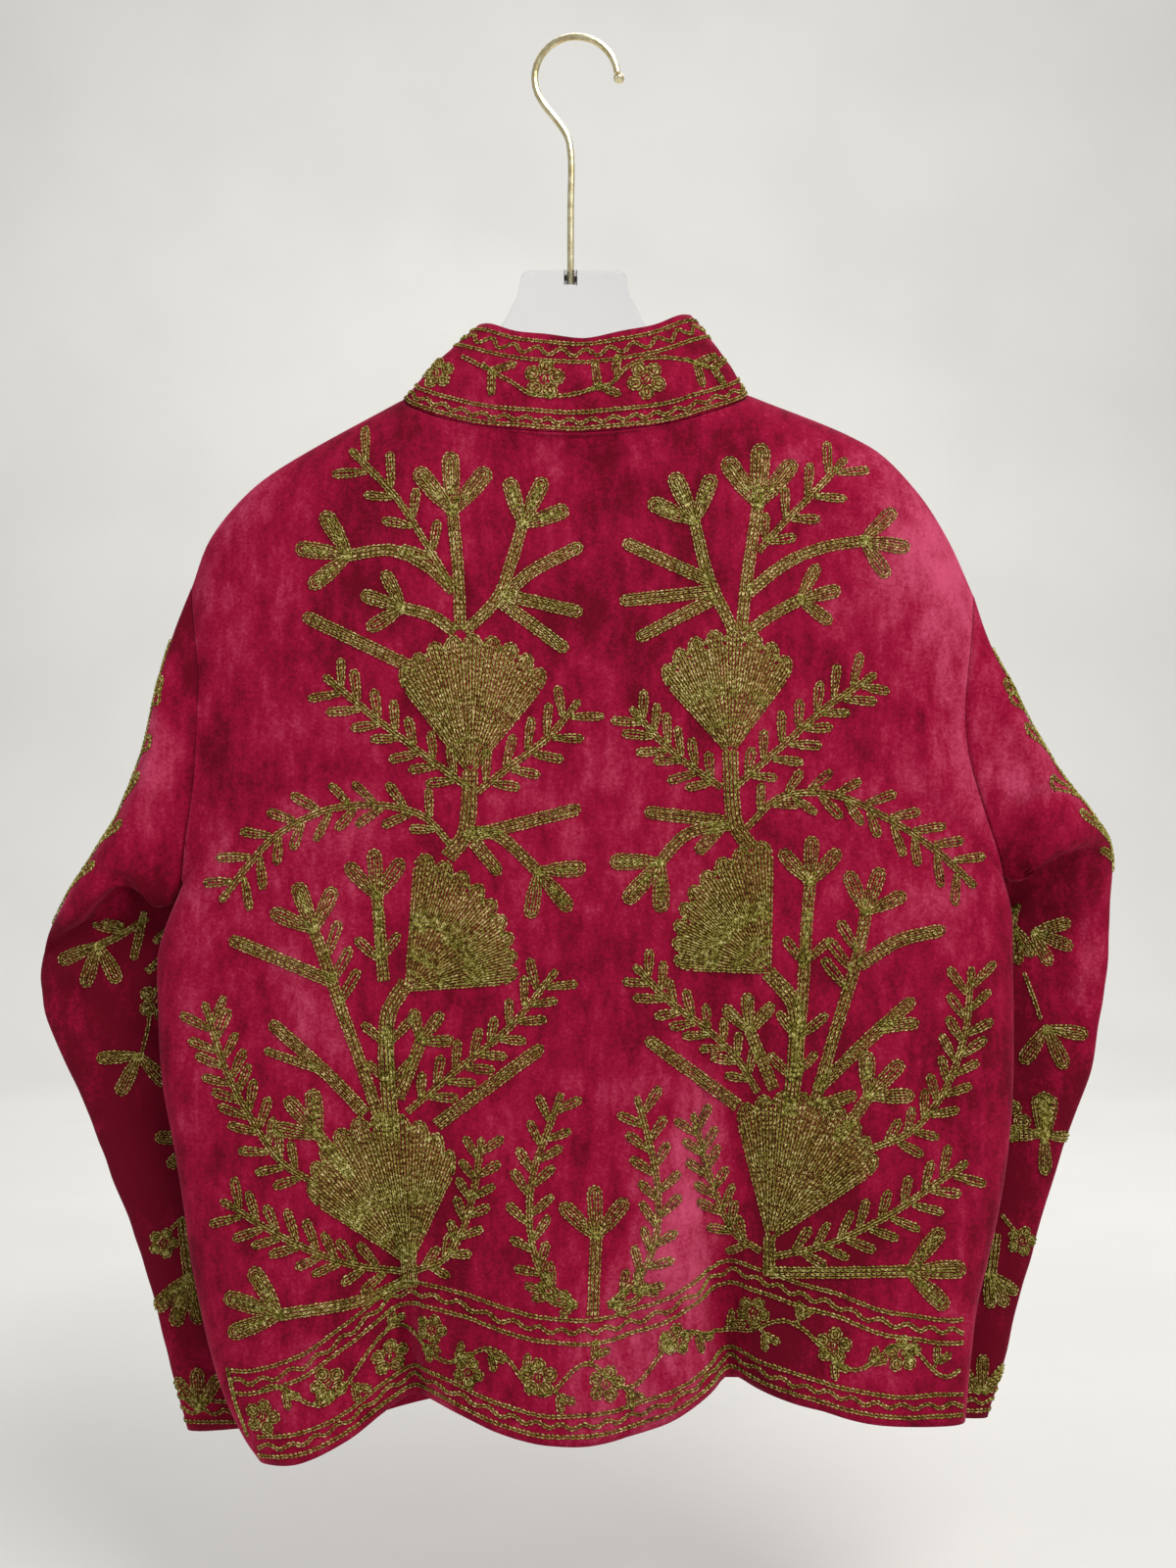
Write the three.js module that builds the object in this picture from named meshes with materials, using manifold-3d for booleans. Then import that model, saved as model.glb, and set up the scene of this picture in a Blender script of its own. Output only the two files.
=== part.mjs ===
// Velvet jacket, seen from its back, hanging on a clear plate hanger with a wire hook.
// Millimetres, +Z up. The origin is where a rail or peg carries the hook. +X is the wearer's
// right, -Y is the side of the back panel and +Y the side of the fronts.
import * as THREE from 'three';
import { mergeVertices } from 'three/addons/utils/BufferGeometryUtils.js';
import Module from 'manifold-3d';

const wasm = await Module();
wasm.setup();

// ---- driving dimensions ---------------------------------------------------------------

const WALL = 2.4;               // velvet with its backing
const COLLAR_WALL = 2.8;        // the collar is stiffened
const SEAM_GAP = 0.3;           // between pieces along a seam
const HALF_GAP = SEAM_GAP / 2;

const PIT_SHARE = 0.66;         // share of a side edge that lies below the armhole
const ARMHOLE_HALF_DEPTH = 19;
const SHOULDER_ROUND = 45;      // height over which cloth turns over the hanger's arm
const PANEL_HEIGHT = 540;
const NECK_BACK_DEPTH = 32;     // from the shoulder seam back to the collar seam's middle
const NECK_FRONT_DEPTH = 34;
const NECK_BEVEL = 2;           // the cut edge under the collar slopes down inwards
const FRONT_NECK_Z = -300;      // lowest point of the neck, at the centre front
const BACK_SIDE_POWER = 4.5;    // squareness of the body's section at its side edges
const FRONT_SIDE_POWER = 3;
const ARMHOLE_POWER = 6;        // flatness of the panels between the armholes
const CROWN_TURN = [0.42, 0.86]; // shares of height over which the sides change from round to flat
const VENT_HEIGHT = 70;         // slit at the hem end of each side seam
const VENT_SPREAD = 5;          // how far each side of a slit stands open at the hem
const FRONT_OPEN_TOP = 1.5;     // half of the space between the fronts, at the neck
const FRONT_OPEN_HEM = 7;       // the same at the hem
const FRONT_HEM_Z = -846;

const COLLAR_TOP_HALF = 67;
const COLLAR_TOP_CENTRE = 4;
const COLLAR_TOP_TILT = 6;      // it stands this much higher at the wearer's right
const COLLAR_TOP_BACK = 27;
const COLLAR_TOP_FRONT = 30;
const COLLAR_TOP_Z = -180;      // at the shoulders
const COLLAR_BACK_DIP = 11;     // the top edge is lower than that at the centre back
const COLLAR_FRONT_DIP = 64;    // and lower still at the centre front
const COLLAR_BELLY = 2.5;       // outward swell half way up
const COLLAR_LIFT = 0.6;        // upright space that leaves the seam gap where the seam is steep

const WIRE = 4.4;               // hook wire diameter
const HOOK_RADIUS = 26.3;       // to the middle of the wire
const HOOK_CENTRE = -1.5;
const SHAFT_X = -5;
const SHAFT_TOP_Z = -71;        // straight below here
const BEND_X = -7.6;            // where the wire leans out to the bend
const BEND_Z = -60;
const PLATE = 10;               // hanger plate thickness
const PLATE_TOP_Z = -147;
const PLATE_CENTRE = -3;
const PLATE_CORNER = 8;
const FERRULE_OUTER = 8;
const FERRULE_LENGTH = 9;
const TIP_BALL = 7;
const ARM_START = 0.46;         // share of the shoulder seam that lies beyond the arm's tip
const ARM_END = 0.92;           // and up to where the arm runs into the hanger's neck
const ARM_DROP = 6.6;           // arm's top edge below the shoulder seam's outer face
const ARM_HEIGHT = 30;
const TIP_REACH = 6;            // how far the rounded tip stands past the arm's last point
const ARCH_Z = -264;            // underside of the hanger at its middle
const ARCH_HALF = 70;

const VELVET = new THREE.MeshStandardMaterial({ color: 0x93213a, roughness: 0.85 });
const VELVET_DARK = new THREE.MeshStandardMaterial({ color: 0x7c1430, roughness: 0.85 });
const ACRYLIC = new THREE.MeshStandardMaterial({
  color: 0xe6ecec, roughness: 0.05, transparent: true, opacity: 0.35 });
const BRASS = new THREE.MeshStandardMaterial({
  color: 0xcdb98a, roughness: 0.28, metalness: 1 });

// Each table's first line names its columns.
const table = (columns, rows) => rows.map((row) =>
  Object.fromEntries(columns.map((name, i) => [name, row[i]])));

// Edges of the body, from hem to pit and from pit to shoulder point.
const LEFT_SIDE = table(['x', 'z'], [
  [-199, -890], [-208, -878], [-221, -853], [-231, -823], [-237, -797], [-243, -767],
  [-247, -737], [-253, -700], [-261, -656], [-264, -610], [-264, -575], [-250, -535]]);
const RIGHT_SIDE = table(['x', 'z'], [
  [241, -866], [243, -848], [246, -822], [250, -795], [256, -770], [262, -744],
  [268, -710], [272, -670], [273, -620], [273, -580], [273, -552], [268, -530]]);
const LEFT_ARMHOLE = table(['x', 'z'], [
  [-250, -535], [-245, -502], [-240, -471], [-237, -422], [-237, -400], [-245, -347]]);
const RIGHT_ARMHOLE = table(['x', 'z'], [
  [268, -530], [262, -512], [253, -487], [243, -453], [241, -420], [250, -352]]);
const LEFT_SHOULDER = table(['x', 'z'], [
  [-245, -347], [-233, -316], [-208, -286], [-180, -266], [-111, -228]]);
const RIGHT_SHOULDER = table(['x', 'z'], [
  [250, -352], [234, -317], [213, -285], [183, -257], [107, -225]]);
const BACK_NECK = table(['x', 'z'], [
  [-111, -228], [-107, -234], [-85, -244], [-54, -251], [0, -255], [54, -249],
  [88, -238], [104, -230], [107, -225]]);
const BACK_HEM = table(['x', 'z'], [
  [-199, -890], [-170, -885], [-141, -872], [-118, -858], [-98, -853], [-74, -857],
  [-50, -865], [-20, -871], [20, -871], [52, -862], [80, -847], [96, -841], [110, -845],
  [140, -853], [180, -861], [241, -866]]);

// Half depth of the body, back and front, by share of height from the hem.
const DEPTHS = table(['share', 'back', 'front'], [
  [0, 42, 26], [0.25, 40, 26], [0.5, 36, 26], [0.66, 32, 25], [0.85, 28, 24], [1, 25, 24]]);

// Long folds of the back. x at the hem, lean of the top, top height, half widths to the left
// and right, and depth into the body; a negative depth is a lobe that stands out.
const BACK_FOLDS = table(['x', 'lean', 'top', 'left', 'right', 'depth'], [
  [-104, -16, -680, 19, 25, 32],
  [95, -6, -560, 14, 26, 30],
  [-8, -4, -640, 46, 46, -8],
  [-172, 4, -700, 34, 26, -8],
  [176, -6, -640, 36, 40, -5],
  [30, 10, -600, 16, 24, 6],
  [150, 22, -590, 20, 26, 7]]);
const FRONT_FOLDS = table(['x', 'lean', 'top', 'left', 'right', 'depth'], [
  [-92, -12, -640, 20, 24, 10],
  [86, 10, -620, 22, 20, 10],
  [-40, 0, -560, 24, 24, -5],
  [38, 4, -600, 24, 24, -5]]);

// Sections of each sleeve from just outside the armhole to the cuff: the outer end of its
// long axis (ox, oz, oy), the inner end (ix, iz, iy) and half its thickness. Rows that turn
// back form the deep tuck under the arm, where the upper sleeve laps over the lower.
const SLEEVE_COLUMNS = ['ox', 'oz', 'oy', 'ix', 'iz', 'iy', 'half'];
const LEFT_SLEEVE = table(SLEEVE_COLUMNS, [
  [-251, -362, 0, -257, -541, 0, 19],
  [-260, -389, 0, -263, -544, 0, 23],
  [-268, -423, 0, -269, -548, 1, 26],
  [-276, -455, 0, -273, -551, 2, 28],
  [-288, -488, 0, -275, -552, 3, 30],
  [-302, -512, 0, -274, -551, 4, 30],
  [-299, -515, 1, -274, -550, 4, 27],
  [-289, -504, 3, -276, -538, 6, 19],
  [-296, -518, 5, -275, -547, 9, 19],
  [-318, -529, 9, -251, -549, 34, 20],
  [-332, -553, 13, -228, -577, 46, 17],
  [-347, -587, 16, -215, -621, 48, 16],
  [-343, -623, 19, -202, -657, 49, 16],
  [-320, -674, 22, -190, -706, 49, 16],
  [-304, -719, 23, -180, -748, 49, 15],
  [-288, -757, 24, -171, -784, 49, 14],
  [-274, -808, 24, -161, -829, 48, 13],
  [-262, -852, 24, -151, -868, 47, 13],
  [-253, -888, 24, -142, -882, 46, 13]]);
const RIGHT_SLEEVE = table(SLEEVE_COLUMNS, [
  [259, -381, 0, 276, -533, 0, 19],
  [271, -404, 0, 284, -536, 0, 23],
  [284, -431, 0, 289, -538, 1, 26],
  [298, -455, 0, 293, -539, 2, 28],
  [313, -477, 0, 295, -539, 3, 30],
  [331, -502, 0, 292, -538, 4, 30],
  [328, -506, 1, 292, -537, 4, 27],
  [317, -497, 3, 296, -525, 6, 19],
  [325, -510, 5, 295, -534, 9, 19],
  [337, -526, 9, 268, -545, 34, 20],
  [335, -549, 13, 244, -576, 46, 17],
  [340, -577, 16, 232, -609, 48, 16],
  [338, -612, 19, 222, -644, 49, 16],
  [331, -655, 22, 211, -686, 49, 16],
  [317, -694, 23, 201, -722, 49, 15],
  [303, -738, 24, 193, -762, 49, 14],
  [290, -786, 24, 184, -801, 48, 13],
  [276, -836, 24, 174, -844, 47, 13],
  [265, -880, 24, 161, -874, 46, 13]]);
const SLEEVE_POWER = 2.3;

// Grid lines. Edges and the shoulder turn get closer ones.
const EDGE_STEPS = [0, 0.003, 0.01, 0.022];
const BACK_INNER = 33;          // even columns between the edge steps
const FRONT_INNER = 14;
const EDGE_END = 0.042;
const NECK_COLUMN = 12;         // first back column on the collar seam
const FRONT_NECK_COLUMN = 9;
const LOWER_ROWS = 14;
const ARM_SHARES = [0, 0.03, 0.1, 0.2, 0.31, 0.42, 0.53, 0.64, 0.75, 0.85, 0.925, 0.97, 0.992, 1];
const COLLAR_ROWS = 4;

// ---- curves ---------------------------------------------------------------------------

// A smooth line through table rows, read by its share of the length along the rows.
function track(rows) {
  const points = rows.map(({ x, z }) => new THREE.Vector2(x, z));
  const at = [0];
  for (let i = 1; i < points.length; i += 1) {
    at.push(at[i - 1] + points[i].distanceTo(points[i - 1]));
  }
  const slope = points.map((point, i) => {
    const before = Math.max(i - 1, 0);
    const after = Math.min(i + 1, points.length - 1);
    return points[after].clone().sub(points[before]).divideScalar(at[after] - at[before]);
  });
  return (share) => {
    const along = share * at.at(-1);
    let i = 0;
    while (i < points.length - 2 && along > at[i + 1]) i += 1;
    const span = at[i + 1] - at[i];
    const t = (along - at[i]) / span;
    const point = points[i].clone().multiplyScalar((1 + 2 * t) * (1 - t) ** 2);
    point.addScaledVector(slope[i], span * t * (1 - t) ** 2);
    point.addScaledVector(points[i + 1], t * t * (3 - 2 * t));
    point.addScaledVector(slope[i + 1], -span * t * t * (1 - t));
    return point;
  };
}

// A column of a table, read between its rows.
function between(rows, key, column) {
  return (value) => {
    let i = 0;
    while (i < rows.length - 2 && value > rows[i + 1][key]) i += 1;
    const t = (value - rows[i][key]) / (rows[i + 1][key] - rows[i][key]);
    return THREE.MathUtils.lerp(rows[i][column], rows[i + 1][column], t);
  };
}

const bodyDepth = {
  back: between(DEPTHS, 'share', 'back'),
  front: between(DEPTHS, 'share', 'front'),
};

// The whole edge of a panel: the side seam, then the armhole.
function sideEdge(side, armhole) {
  const lower = track(side);
  const upper = track(armhole);
  return (share) => (share < PIT_SHARE ? lower(share / PIT_SHARE)
    : upper((share - PIT_SHARE) / (1 - PIT_SHARE)));
}

const leftEdge = sideEdge(LEFT_SIDE, LEFT_ARMHOLE);
const rightEdge = sideEdge(RIGHT_SIDE, RIGHT_ARMHOLE);

// Four edges filled with an even net of lines.
function fill(bottom, top, left, right) {
  const corners = [left(0), right(0), left(1), right(1)];
  return (u, v) => {
    const point = bottom(u).clone().multiplyScalar(1 - v).addScaledVector(top(u), v);
    point.addScaledVector(left(v), 1 - u).addScaledVector(right(v), u);
    const shares = [(1 - u) * (1 - v), u * (1 - v), (1 - u) * v, u * v];
    corners.forEach((corner, i) => point.addScaledVector(corner, -shares[i]));
    return point;
  };
}

const rowShares = [];
for (let i = 0; i < LOWER_ROWS; i += 1) rowShares.push((i / LOWER_ROWS) * PIT_SHARE);
for (const share of ARM_SHARES) rowShares.push(PIT_SHARE + share * (1 - PIT_SHARE));

const innerColumns = (first, last, count) =>
  Array.from({ length: count }, (_, i) => first + ((last - first) * i) / (count - 1));
const backColumns = [...EDGE_STEPS, ...innerColumns(EDGE_END, 1 - EDGE_END, BACK_INNER),
  ...EDGE_STEPS.map((step) => 1 - step).reverse()];
const frontColumns = [...EDGE_STEPS, ...innerColumns(EDGE_END, 1, FRONT_INNER)];

// ---- the body's depth -----------------------------------------------------------------

// How far folds push a point of a panel into the body.
function foldDepth(folds, x, z, hemZ) {
  let depth = 0;
  for (const fold of folds) {
    const rise = THREE.MathUtils.clamp((z - hemZ) / (fold.top - hemZ), 0, 1);
    const off = x - (fold.x + fold.lean * rise);
    const width = off < 0 ? fold.left : fold.right;
    depth += fold.depth * (1 - rise) ** 1.4 * Math.exp(-((off / width) ** 2));
  }
  return depth;
}

// Depth of a panel's edge: 0 on the side seam and bowed out round the armhole.
function edgeDepth(share) {
  const along = (share - PIT_SHARE) / (1 - PIT_SHARE);
  return along <= 0 ? 0 : ARMHOLE_HALF_DEPTH * Math.sqrt(Math.max(0, 1 - (2 * along - 1) ** 2));
}

// Share of the full depth at a distance `out` from the middle, 1 being the edge.
function crown(out, share, power) {
  const flat = 1 - out ** ARMHOLE_POWER;
  const round = Math.max(0, 1 - out ** power) ** (1 / power);
  const turn = THREE.MathUtils.smoothstep(share, ...CROWN_TURN);
  return THREE.MathUtils.lerp(round, flat, turn);
}

// Share of the turn over the shoulder that is complete at a row.
function shoulderTurn(share) {
  const down = Math.min(1, ((1 - share) * PANEL_HEIGHT) / SHOULDER_ROUND);
  return Math.sqrt(1 - (1 - down) ** 2);
}

// How far each side of a slit stands off the middle plane.
function ventDepth(share, out) {
  const vent = VENT_HEIGHT / PANEL_HEIGHT;
  return VENT_SPREAD * Math.max(0, 1 - share / vent) * out ** 8;
}

function panelDepth(deep, neck, share, out, power) {
  const turn = shoulderTurn(share);
  const edge = edgeDepth(share);
  const body = edge + (deep - edge) * crown(out, share, power);
  return (1 - turn) * neck + turn * body;
}

// ---- walls ----------------------------------------------------------------------------

// A wall on a grid of outer points. `turn` is 1 where columns cross rows gives the outward
// side. `trim(inner, outer, row, column)` may pull an inner point back from a seam.
function wallGeometry(grid, thickness, turn, trim, closed = false) {
  const rows = grid.length;
  const columns = grid[0].length;
  const wrap = (j) => (closed ? (j + columns) % columns : Math.min(Math.max(j, 0), columns - 1));
  const inner = grid.map((line, i) => line.map((point, j) => {
    const along = grid[i][wrap(j + 1)].clone().sub(grid[i][wrap(j - 1)]);
    const up = grid[Math.min(i + 1, rows - 1)][j].clone().sub(grid[Math.max(i - 1, 0)][j]);
    const normal = along.cross(up).normalize().multiplyScalar(turn);
    const place = point.clone().addScaledVector(normal, -thickness);
    trim(place, point, i, j);
    return place;
  }));
  const points = [...grid.flat(), ...inner.flat()];
  const id = (layer, i, j) => layer * rows * columns + i * columns + wrap(j);
  const faces = [];
  const quad = (a, b, c, d) => (turn > 0 ? faces.push(a, b, c, a, c, d)
    : faces.push(a, c, b, a, d, c));
  const spans = closed ? columns : columns - 1;
  for (let j = 0; j < spans; j += 1) {
    for (let i = 0; i < rows - 1; i += 1) {
      quad(id(0, i, j), id(0, i, j + 1), id(0, i + 1, j + 1), id(0, i + 1, j));
      quad(id(1, i, j + 1), id(1, i, j), id(1, i + 1, j), id(1, i + 1, j + 1));
    }
    quad(id(1, 0, j), id(1, 0, j + 1), id(0, 0, j + 1), id(0, 0, j));
    quad(id(0, rows - 1, j), id(0, rows - 1, j + 1), id(1, rows - 1, j + 1), id(1, rows - 1, j));
  }
  for (let i = 0; !closed && i < rows - 1; i += 1) {
    const last = columns - 1;
    quad(id(1, i, 0), id(0, i, 0), id(0, i + 1, 0), id(1, i + 1, 0));
    quad(id(0, i, last), id(1, i, last), id(1, i + 1, last), id(0, i + 1, last));
  }
  const geometry = new THREE.BufferGeometry();
  geometry.setAttribute('position',
    new THREE.Float32BufferAttribute(points.flatMap((point) => point.toArray()), 3));
  geometry.setIndex(faces);
  return geometry;
}

// ---- panels ---------------------------------------------------------------------------

const neckPoint = { left: LEFT_SHOULDER.at(-1), right: RIGHT_SHOULDER.at(-1) };

function backGrid() {
  const hem = track(BACK_HEM);
  const shoulders = [track(LEFT_SHOULDER), track(RIGHT_SHOULDER)];
  const neck = track(BACK_NECK);
  const first = backColumns[NECK_COLUMN];
  const last = 1 - first;
  const top = (u) => {
    if (u <= first) return shoulders[0](u / first);
    if (u >= last) return shoulders[1]((1 - u) / first);
    return neck((u - first) / (last - first));
  };
  const net = fill(hem, top, leftEdge, rightEdge);
  return rowShares.map((v) => backColumns.map((u) => {
    const { x, y: z } = net(u, v);
    const out = Math.abs(2 * u - 1);
    const across = THREE.MathUtils.clamp(out / (1 - 2 * first), 0, 1);
    const collar = NECK_BACK_DEPTH * Math.sqrt(1 - across ** 2);
    const folds = foldDepth(BACK_FOLDS, x, z, hem(u).y) * (1 - out ** 8);
    const depth = panelDepth(bodyDepth.back(v), collar, v, out, BACK_SIDE_POWER);
    return new THREE.Vector3(x, folds - depth - HALF_GAP - ventDepth(v, out), z);
  }));
}

function frontGrid(side) {
  const sign = side === 'left' ? -1 : 1;
  const edge = side === 'left' ? leftEdge : rightEdge;
  const shoulder = track(side === 'left' ? LEFT_SHOULDER : RIGHT_SHOULDER);
  const neckStart = neckPoint[side];
  const first = frontColumns[FRONT_NECK_COLUMN];
  const openAt = (v) => sign * THREE.MathUtils.lerp(FRONT_OPEN_HEM, FRONT_OPEN_TOP, v);
  const corner = edge(0);
  const hem = (u) => new THREE.Vector2(
    THREE.MathUtils.lerp(corner.x, openAt(0), u),
    THREE.MathUtils.lerp(corner.y, FRONT_HEM_Z, THREE.MathUtils.smoothstep(u, 0, 1)));
  const neck = (angle) => new THREE.Vector2(
    THREE.MathUtils.lerp(openAt(1), neckStart.x, Math.cos(angle)),
    THREE.MathUtils.lerp(neckStart.z, FRONT_NECK_Z, Math.sin(angle) ** 1.5));
  const top = (u) => (u <= first ? shoulder(u / first)
    : neck(((u - first) / (1 - first)) * (Math.PI / 2)));
  const middle = (v) => new THREE.Vector2(openAt(v),
    THREE.MathUtils.lerp(FRONT_HEM_Z, FRONT_NECK_Z, v));
  const net = fill(hem, top, edge, middle);
  return rowShares.map((v) => frontColumns.map((u) => {
    const { x, y: z } = net(u, v);
    const out = 1 - u;
    const angle = (Math.max(0, u - first) / (1 - first)) * (Math.PI / 2);
    const collar = NECK_FRONT_DEPTH * Math.sin(angle);
    const folds = foldDepth(FRONT_FOLDS, x, z, hem(u).y) * (1 - out ** 8);
    const depth = panelDepth(bodyDepth.front(v), collar, v, out, FRONT_SIDE_POWER);
    return new THREE.Vector3(x, depth - folds + HALF_GAP + ventDepth(v, out), z);
  }));
}

const backPoints = backGrid();
const frontPoints = { left: frontGrid('left'), right: frontGrid('right') };
const lastRow = rowShares.length - 1;

// Keeps a body panel's inner points on its own side of the seams around it.
function panelTrim(facing, outwardEnds) {
  return (inner, outer, i, j) => {
    if (facing * inner.y < HALF_GAP) inner.y = facing * HALF_GAP;
    if (i === lastRow) inner.z = Math.min(inner.z, outer.z - NECK_BEVEL);
    const end = outwardEnds[j];
    if (end && end * inner.x > end * outer.x) inner.x = outer.x;
  };
}

function backPiece() {
  const ends = { 0: -1, [backColumns.length - 1]: 1 };
  return wallGeometry(backPoints, WALL, 1, panelTrim(-1, ends));
}

function frontPiece(side) {
  const sign = side === 'left' ? -1 : 1;
  const ends = { 0: sign, [frontColumns.length - 1]: -sign };
  return wallGeometry(frontPoints[side], WALL, sign, panelTrim(1, ends));
}

// ---- sleeves --------------------------------------------------------------------------

function sleeveGrid(side) {
  const sign = side === 'left' ? -1 : 1;
  const sections = side === 'left' ? LEFT_SLEEVE : RIGHT_SLEEVE;
  const column = side === 'left' ? 0 : backColumns.length - 1;
  // Down the back edge of the armhole and up its front edge.
  const armRows = ARM_SHARES.map((_, i) => lastRow - i);
  const down = armRows.map((row) => backPoints[row][column]);
  const up = armRows.slice(1, -1).reverse().map((row) => frontPoints[side][row][0]);
  const first = [...down, ...up].map((point) => new THREE.Vector3(
    point.x + sign * SEAM_GAP, point.y, point.z));
  const reach = ARM_SHARES.map((share) => 2 * share - 1).reverse();
  const turns = [...reach.map((c) => ({ c, facing: -1 })),
    ...reach.slice(1, -1).reverse().map((c) => ({ c, facing: 1 }))];
  const rings = sections.map((section) => turns.map(({ c, facing }) => {
    const outer = new THREE.Vector3(section.ox, section.oy, section.oz);
    const inner = new THREE.Vector3(section.ix, section.iy, section.iz);
    const place = inner.lerp(outer, (c + 1) / 2);
    const bulge = Math.max(0, 1 - Math.abs(c) ** SLEEVE_POWER) ** (1 / SLEEVE_POWER);
    place.y += facing * section.half * bulge;
    return place;
  }));
  return [first, ...rings];
}

function sleevePiece(side) {
  const sign = side === 'left' ? -1 : 1;
  const grid = sleeveGrid(side);
  const pit = ARM_SHARES.length - 1;
  const trim = (inner, outer, i, j) => {
    if (i > 0) return;
    inner.x = outer.x;
    if (j === pit) inner.set(outer.x, outer.y, outer.z + WALL);
  };
  return wallGeometry(grid, WALL, -sign, trim, true);
}

// ---- collar ---------------------------------------------------------------------------

// The collar seam, from the centre front round the wearer's left, back and right.
function collarSeam() {
  const top = lastRow;
  const neckOf = (side) => frontPoints[side][top].slice(FRONT_NECK_COLUMN);
  const back = backPoints[top].slice(NECK_COLUMN, backColumns.length - NECK_COLUMN);
  return [...neckOf('left').reverse(), ...back.slice(1, -1), ...neckOf('right')];
}

function collarPiece() {
  const seam = collarSeam();
  const grid = [];
  for (let i = 0; i <= COLLAR_ROWS; i += 1) {
    const share = i / COLLAR_ROWS;
    grid.push(seam.map((point) => {
      const angle = Math.atan2(point.y / NECK_FRONT_DEPTH, point.x / neckPoint.right.x);
      const front = Math.max(0, Math.sin(angle));
      const back = Math.max(0, -Math.sin(angle));
      const depth = front > 0 ? COLLAR_TOP_FRONT : COLLAR_TOP_BACK;
      const rim = new THREE.Vector3(
        COLLAR_TOP_CENTRE * (1 - front ** 2) + COLLAR_TOP_HALF * Math.cos(angle),
        depth * Math.sin(angle),
        COLLAR_TOP_Z - COLLAR_BACK_DIP * back ** 2 - COLLAR_FRONT_DIP * front ** 2
          + COLLAR_TOP_TILT * Math.max(0, Math.cos(angle)));
      const place = point.clone().lerp(rim, share);
      const swell = COLLAR_BELLY * Math.sin(Math.PI * share);
      place.x += swell * Math.cos(angle);
      place.y += swell * Math.sin(angle);
      place.z += COLLAR_LIFT * (1 - share);
      return place;
    }));
  }
  const last = seam.length - 1;
  const trim = (inner, outer, i, j) => {
    if (i === 0 && inner.z < outer.z) inner.z = outer.z;
    if (j === 0 && inner.x > outer.x) inner.x = outer.x;
    if (j === last && inner.x < outer.x) inner.x = outer.x;
  };
  return wallGeometry(grid, COLLAR_WALL, 1, trim);
}

// ---- hanger and hook ------------------------------------------------------------------

// Half widths of the hanger's neck by height, down to where the arms begin.
const PLATE_NECK = table(['half', 'z'], [[34, -147], [36, -164], [43, -178], [55, -197],
  [72, -217], [96, -240]]);

// A place below a shoulder seam, `drop` square to it.
function underShoulder(line, share, drop) {
  const step = 0.01;
  const along = line(share + step).sub(line(share - step)).normalize();
  const normal = new THREE.Vector2(along.y * Math.sign(along.x), -Math.abs(along.x));
  return line(share).addScaledVector(normal, drop);
}

function hangerPiece() {
  const arm = (sign) => {
    const line = track(sign < 0 ? LEFT_SHOULDER : RIGHT_SHOULDER);
    const shares = Array.from({ length: 10 }, (_, i) =>
      THREE.MathUtils.lerp(ARM_END, ARM_START, i / 9));
    const upper = shares.map((share) => underShoulder(line, share, ARM_DROP));
    const lower = shares.reverse().map((share) => underShoulder(line, share, ARM_DROP + ARM_HEIGHT));
    for (const point of lower) point.y = Math.min(point.y, ARCH_Z);
    const tip = upper.at(-1).clone().lerp(lower[0], 0.5);
    tip.x += sign * TIP_REACH;
    const arch = new THREE.Vector2(sign * ARCH_HALF, ARCH_Z);
    return [...upper, tip, ...lower, arch];
  };
  const neck = (sign) => PLATE_NECK.slice(1).map(({ half, z }) =>
    new THREE.Vector2(PLATE_CENTRE + sign * half, z));
  const top = PLATE_NECK[0];
  const shape = new THREE.Shape([...arm(-1).reverse(), ...neck(-1).reverse()]);
  shape.lineTo(PLATE_CENTRE - top.half, top.z - PLATE_CORNER);
  shape.quadraticCurveTo(PLATE_CENTRE - top.half, top.z,
    PLATE_CENTRE - top.half + PLATE_CORNER, top.z);
  shape.lineTo(PLATE_CENTRE + top.half - PLATE_CORNER, top.z);
  shape.quadraticCurveTo(PLATE_CENTRE + top.half, top.z,
    PLATE_CENTRE + top.half, top.z - PLATE_CORNER);
  for (const point of [...neck(1), ...arm(1)]) shape.lineTo(point.x, point.y);
  const plate = new THREE.ExtrudeGeometry(shape,
    { depth: PLATE, bevelEnabled: false, curveSegments: 5 });
  plate.rotateX(Math.PI / 2).translate(0, PLATE / 2, 0);
  const bore = new THREE.CylinderGeometry(
    FERRULE_OUTER / 2 + SEAM_GAP, FERRULE_OUTER / 2 + SEAM_GAP, 2 * FERRULE_LENGTH, 24);
  bore.rotateX(Math.PI / 2).translate(SHAFT_X, 0, PLATE_TOP_Z);
  return cut(plate, bore);
}

function solid(geometry) {
  const plain = geometry.clone();
  plain.deleteAttribute('normal');
  plain.deleteAttribute('uv');
  const merged = mergeVertices(plain.index ? plain.toNonIndexed() : plain);
  return new wasm.Manifold(new wasm.Mesh({ numProp: 3,
    vertProperties: new Float32Array(merged.attributes.position.array),
    triVerts: new Uint32Array(merged.index.array) }));
}

function cut(body, tool) {
  const mesh = solid(body).subtract(solid(tool)).getMesh();
  const geometry = new THREE.BufferGeometry();
  geometry.setAttribute('position', new THREE.BufferAttribute(
    new Float32Array(mesh.vertProperties), 3));
  geometry.setIndex(new THREE.BufferAttribute(new Uint32Array(mesh.triVerts), 1));
  return geometry;
}

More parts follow.
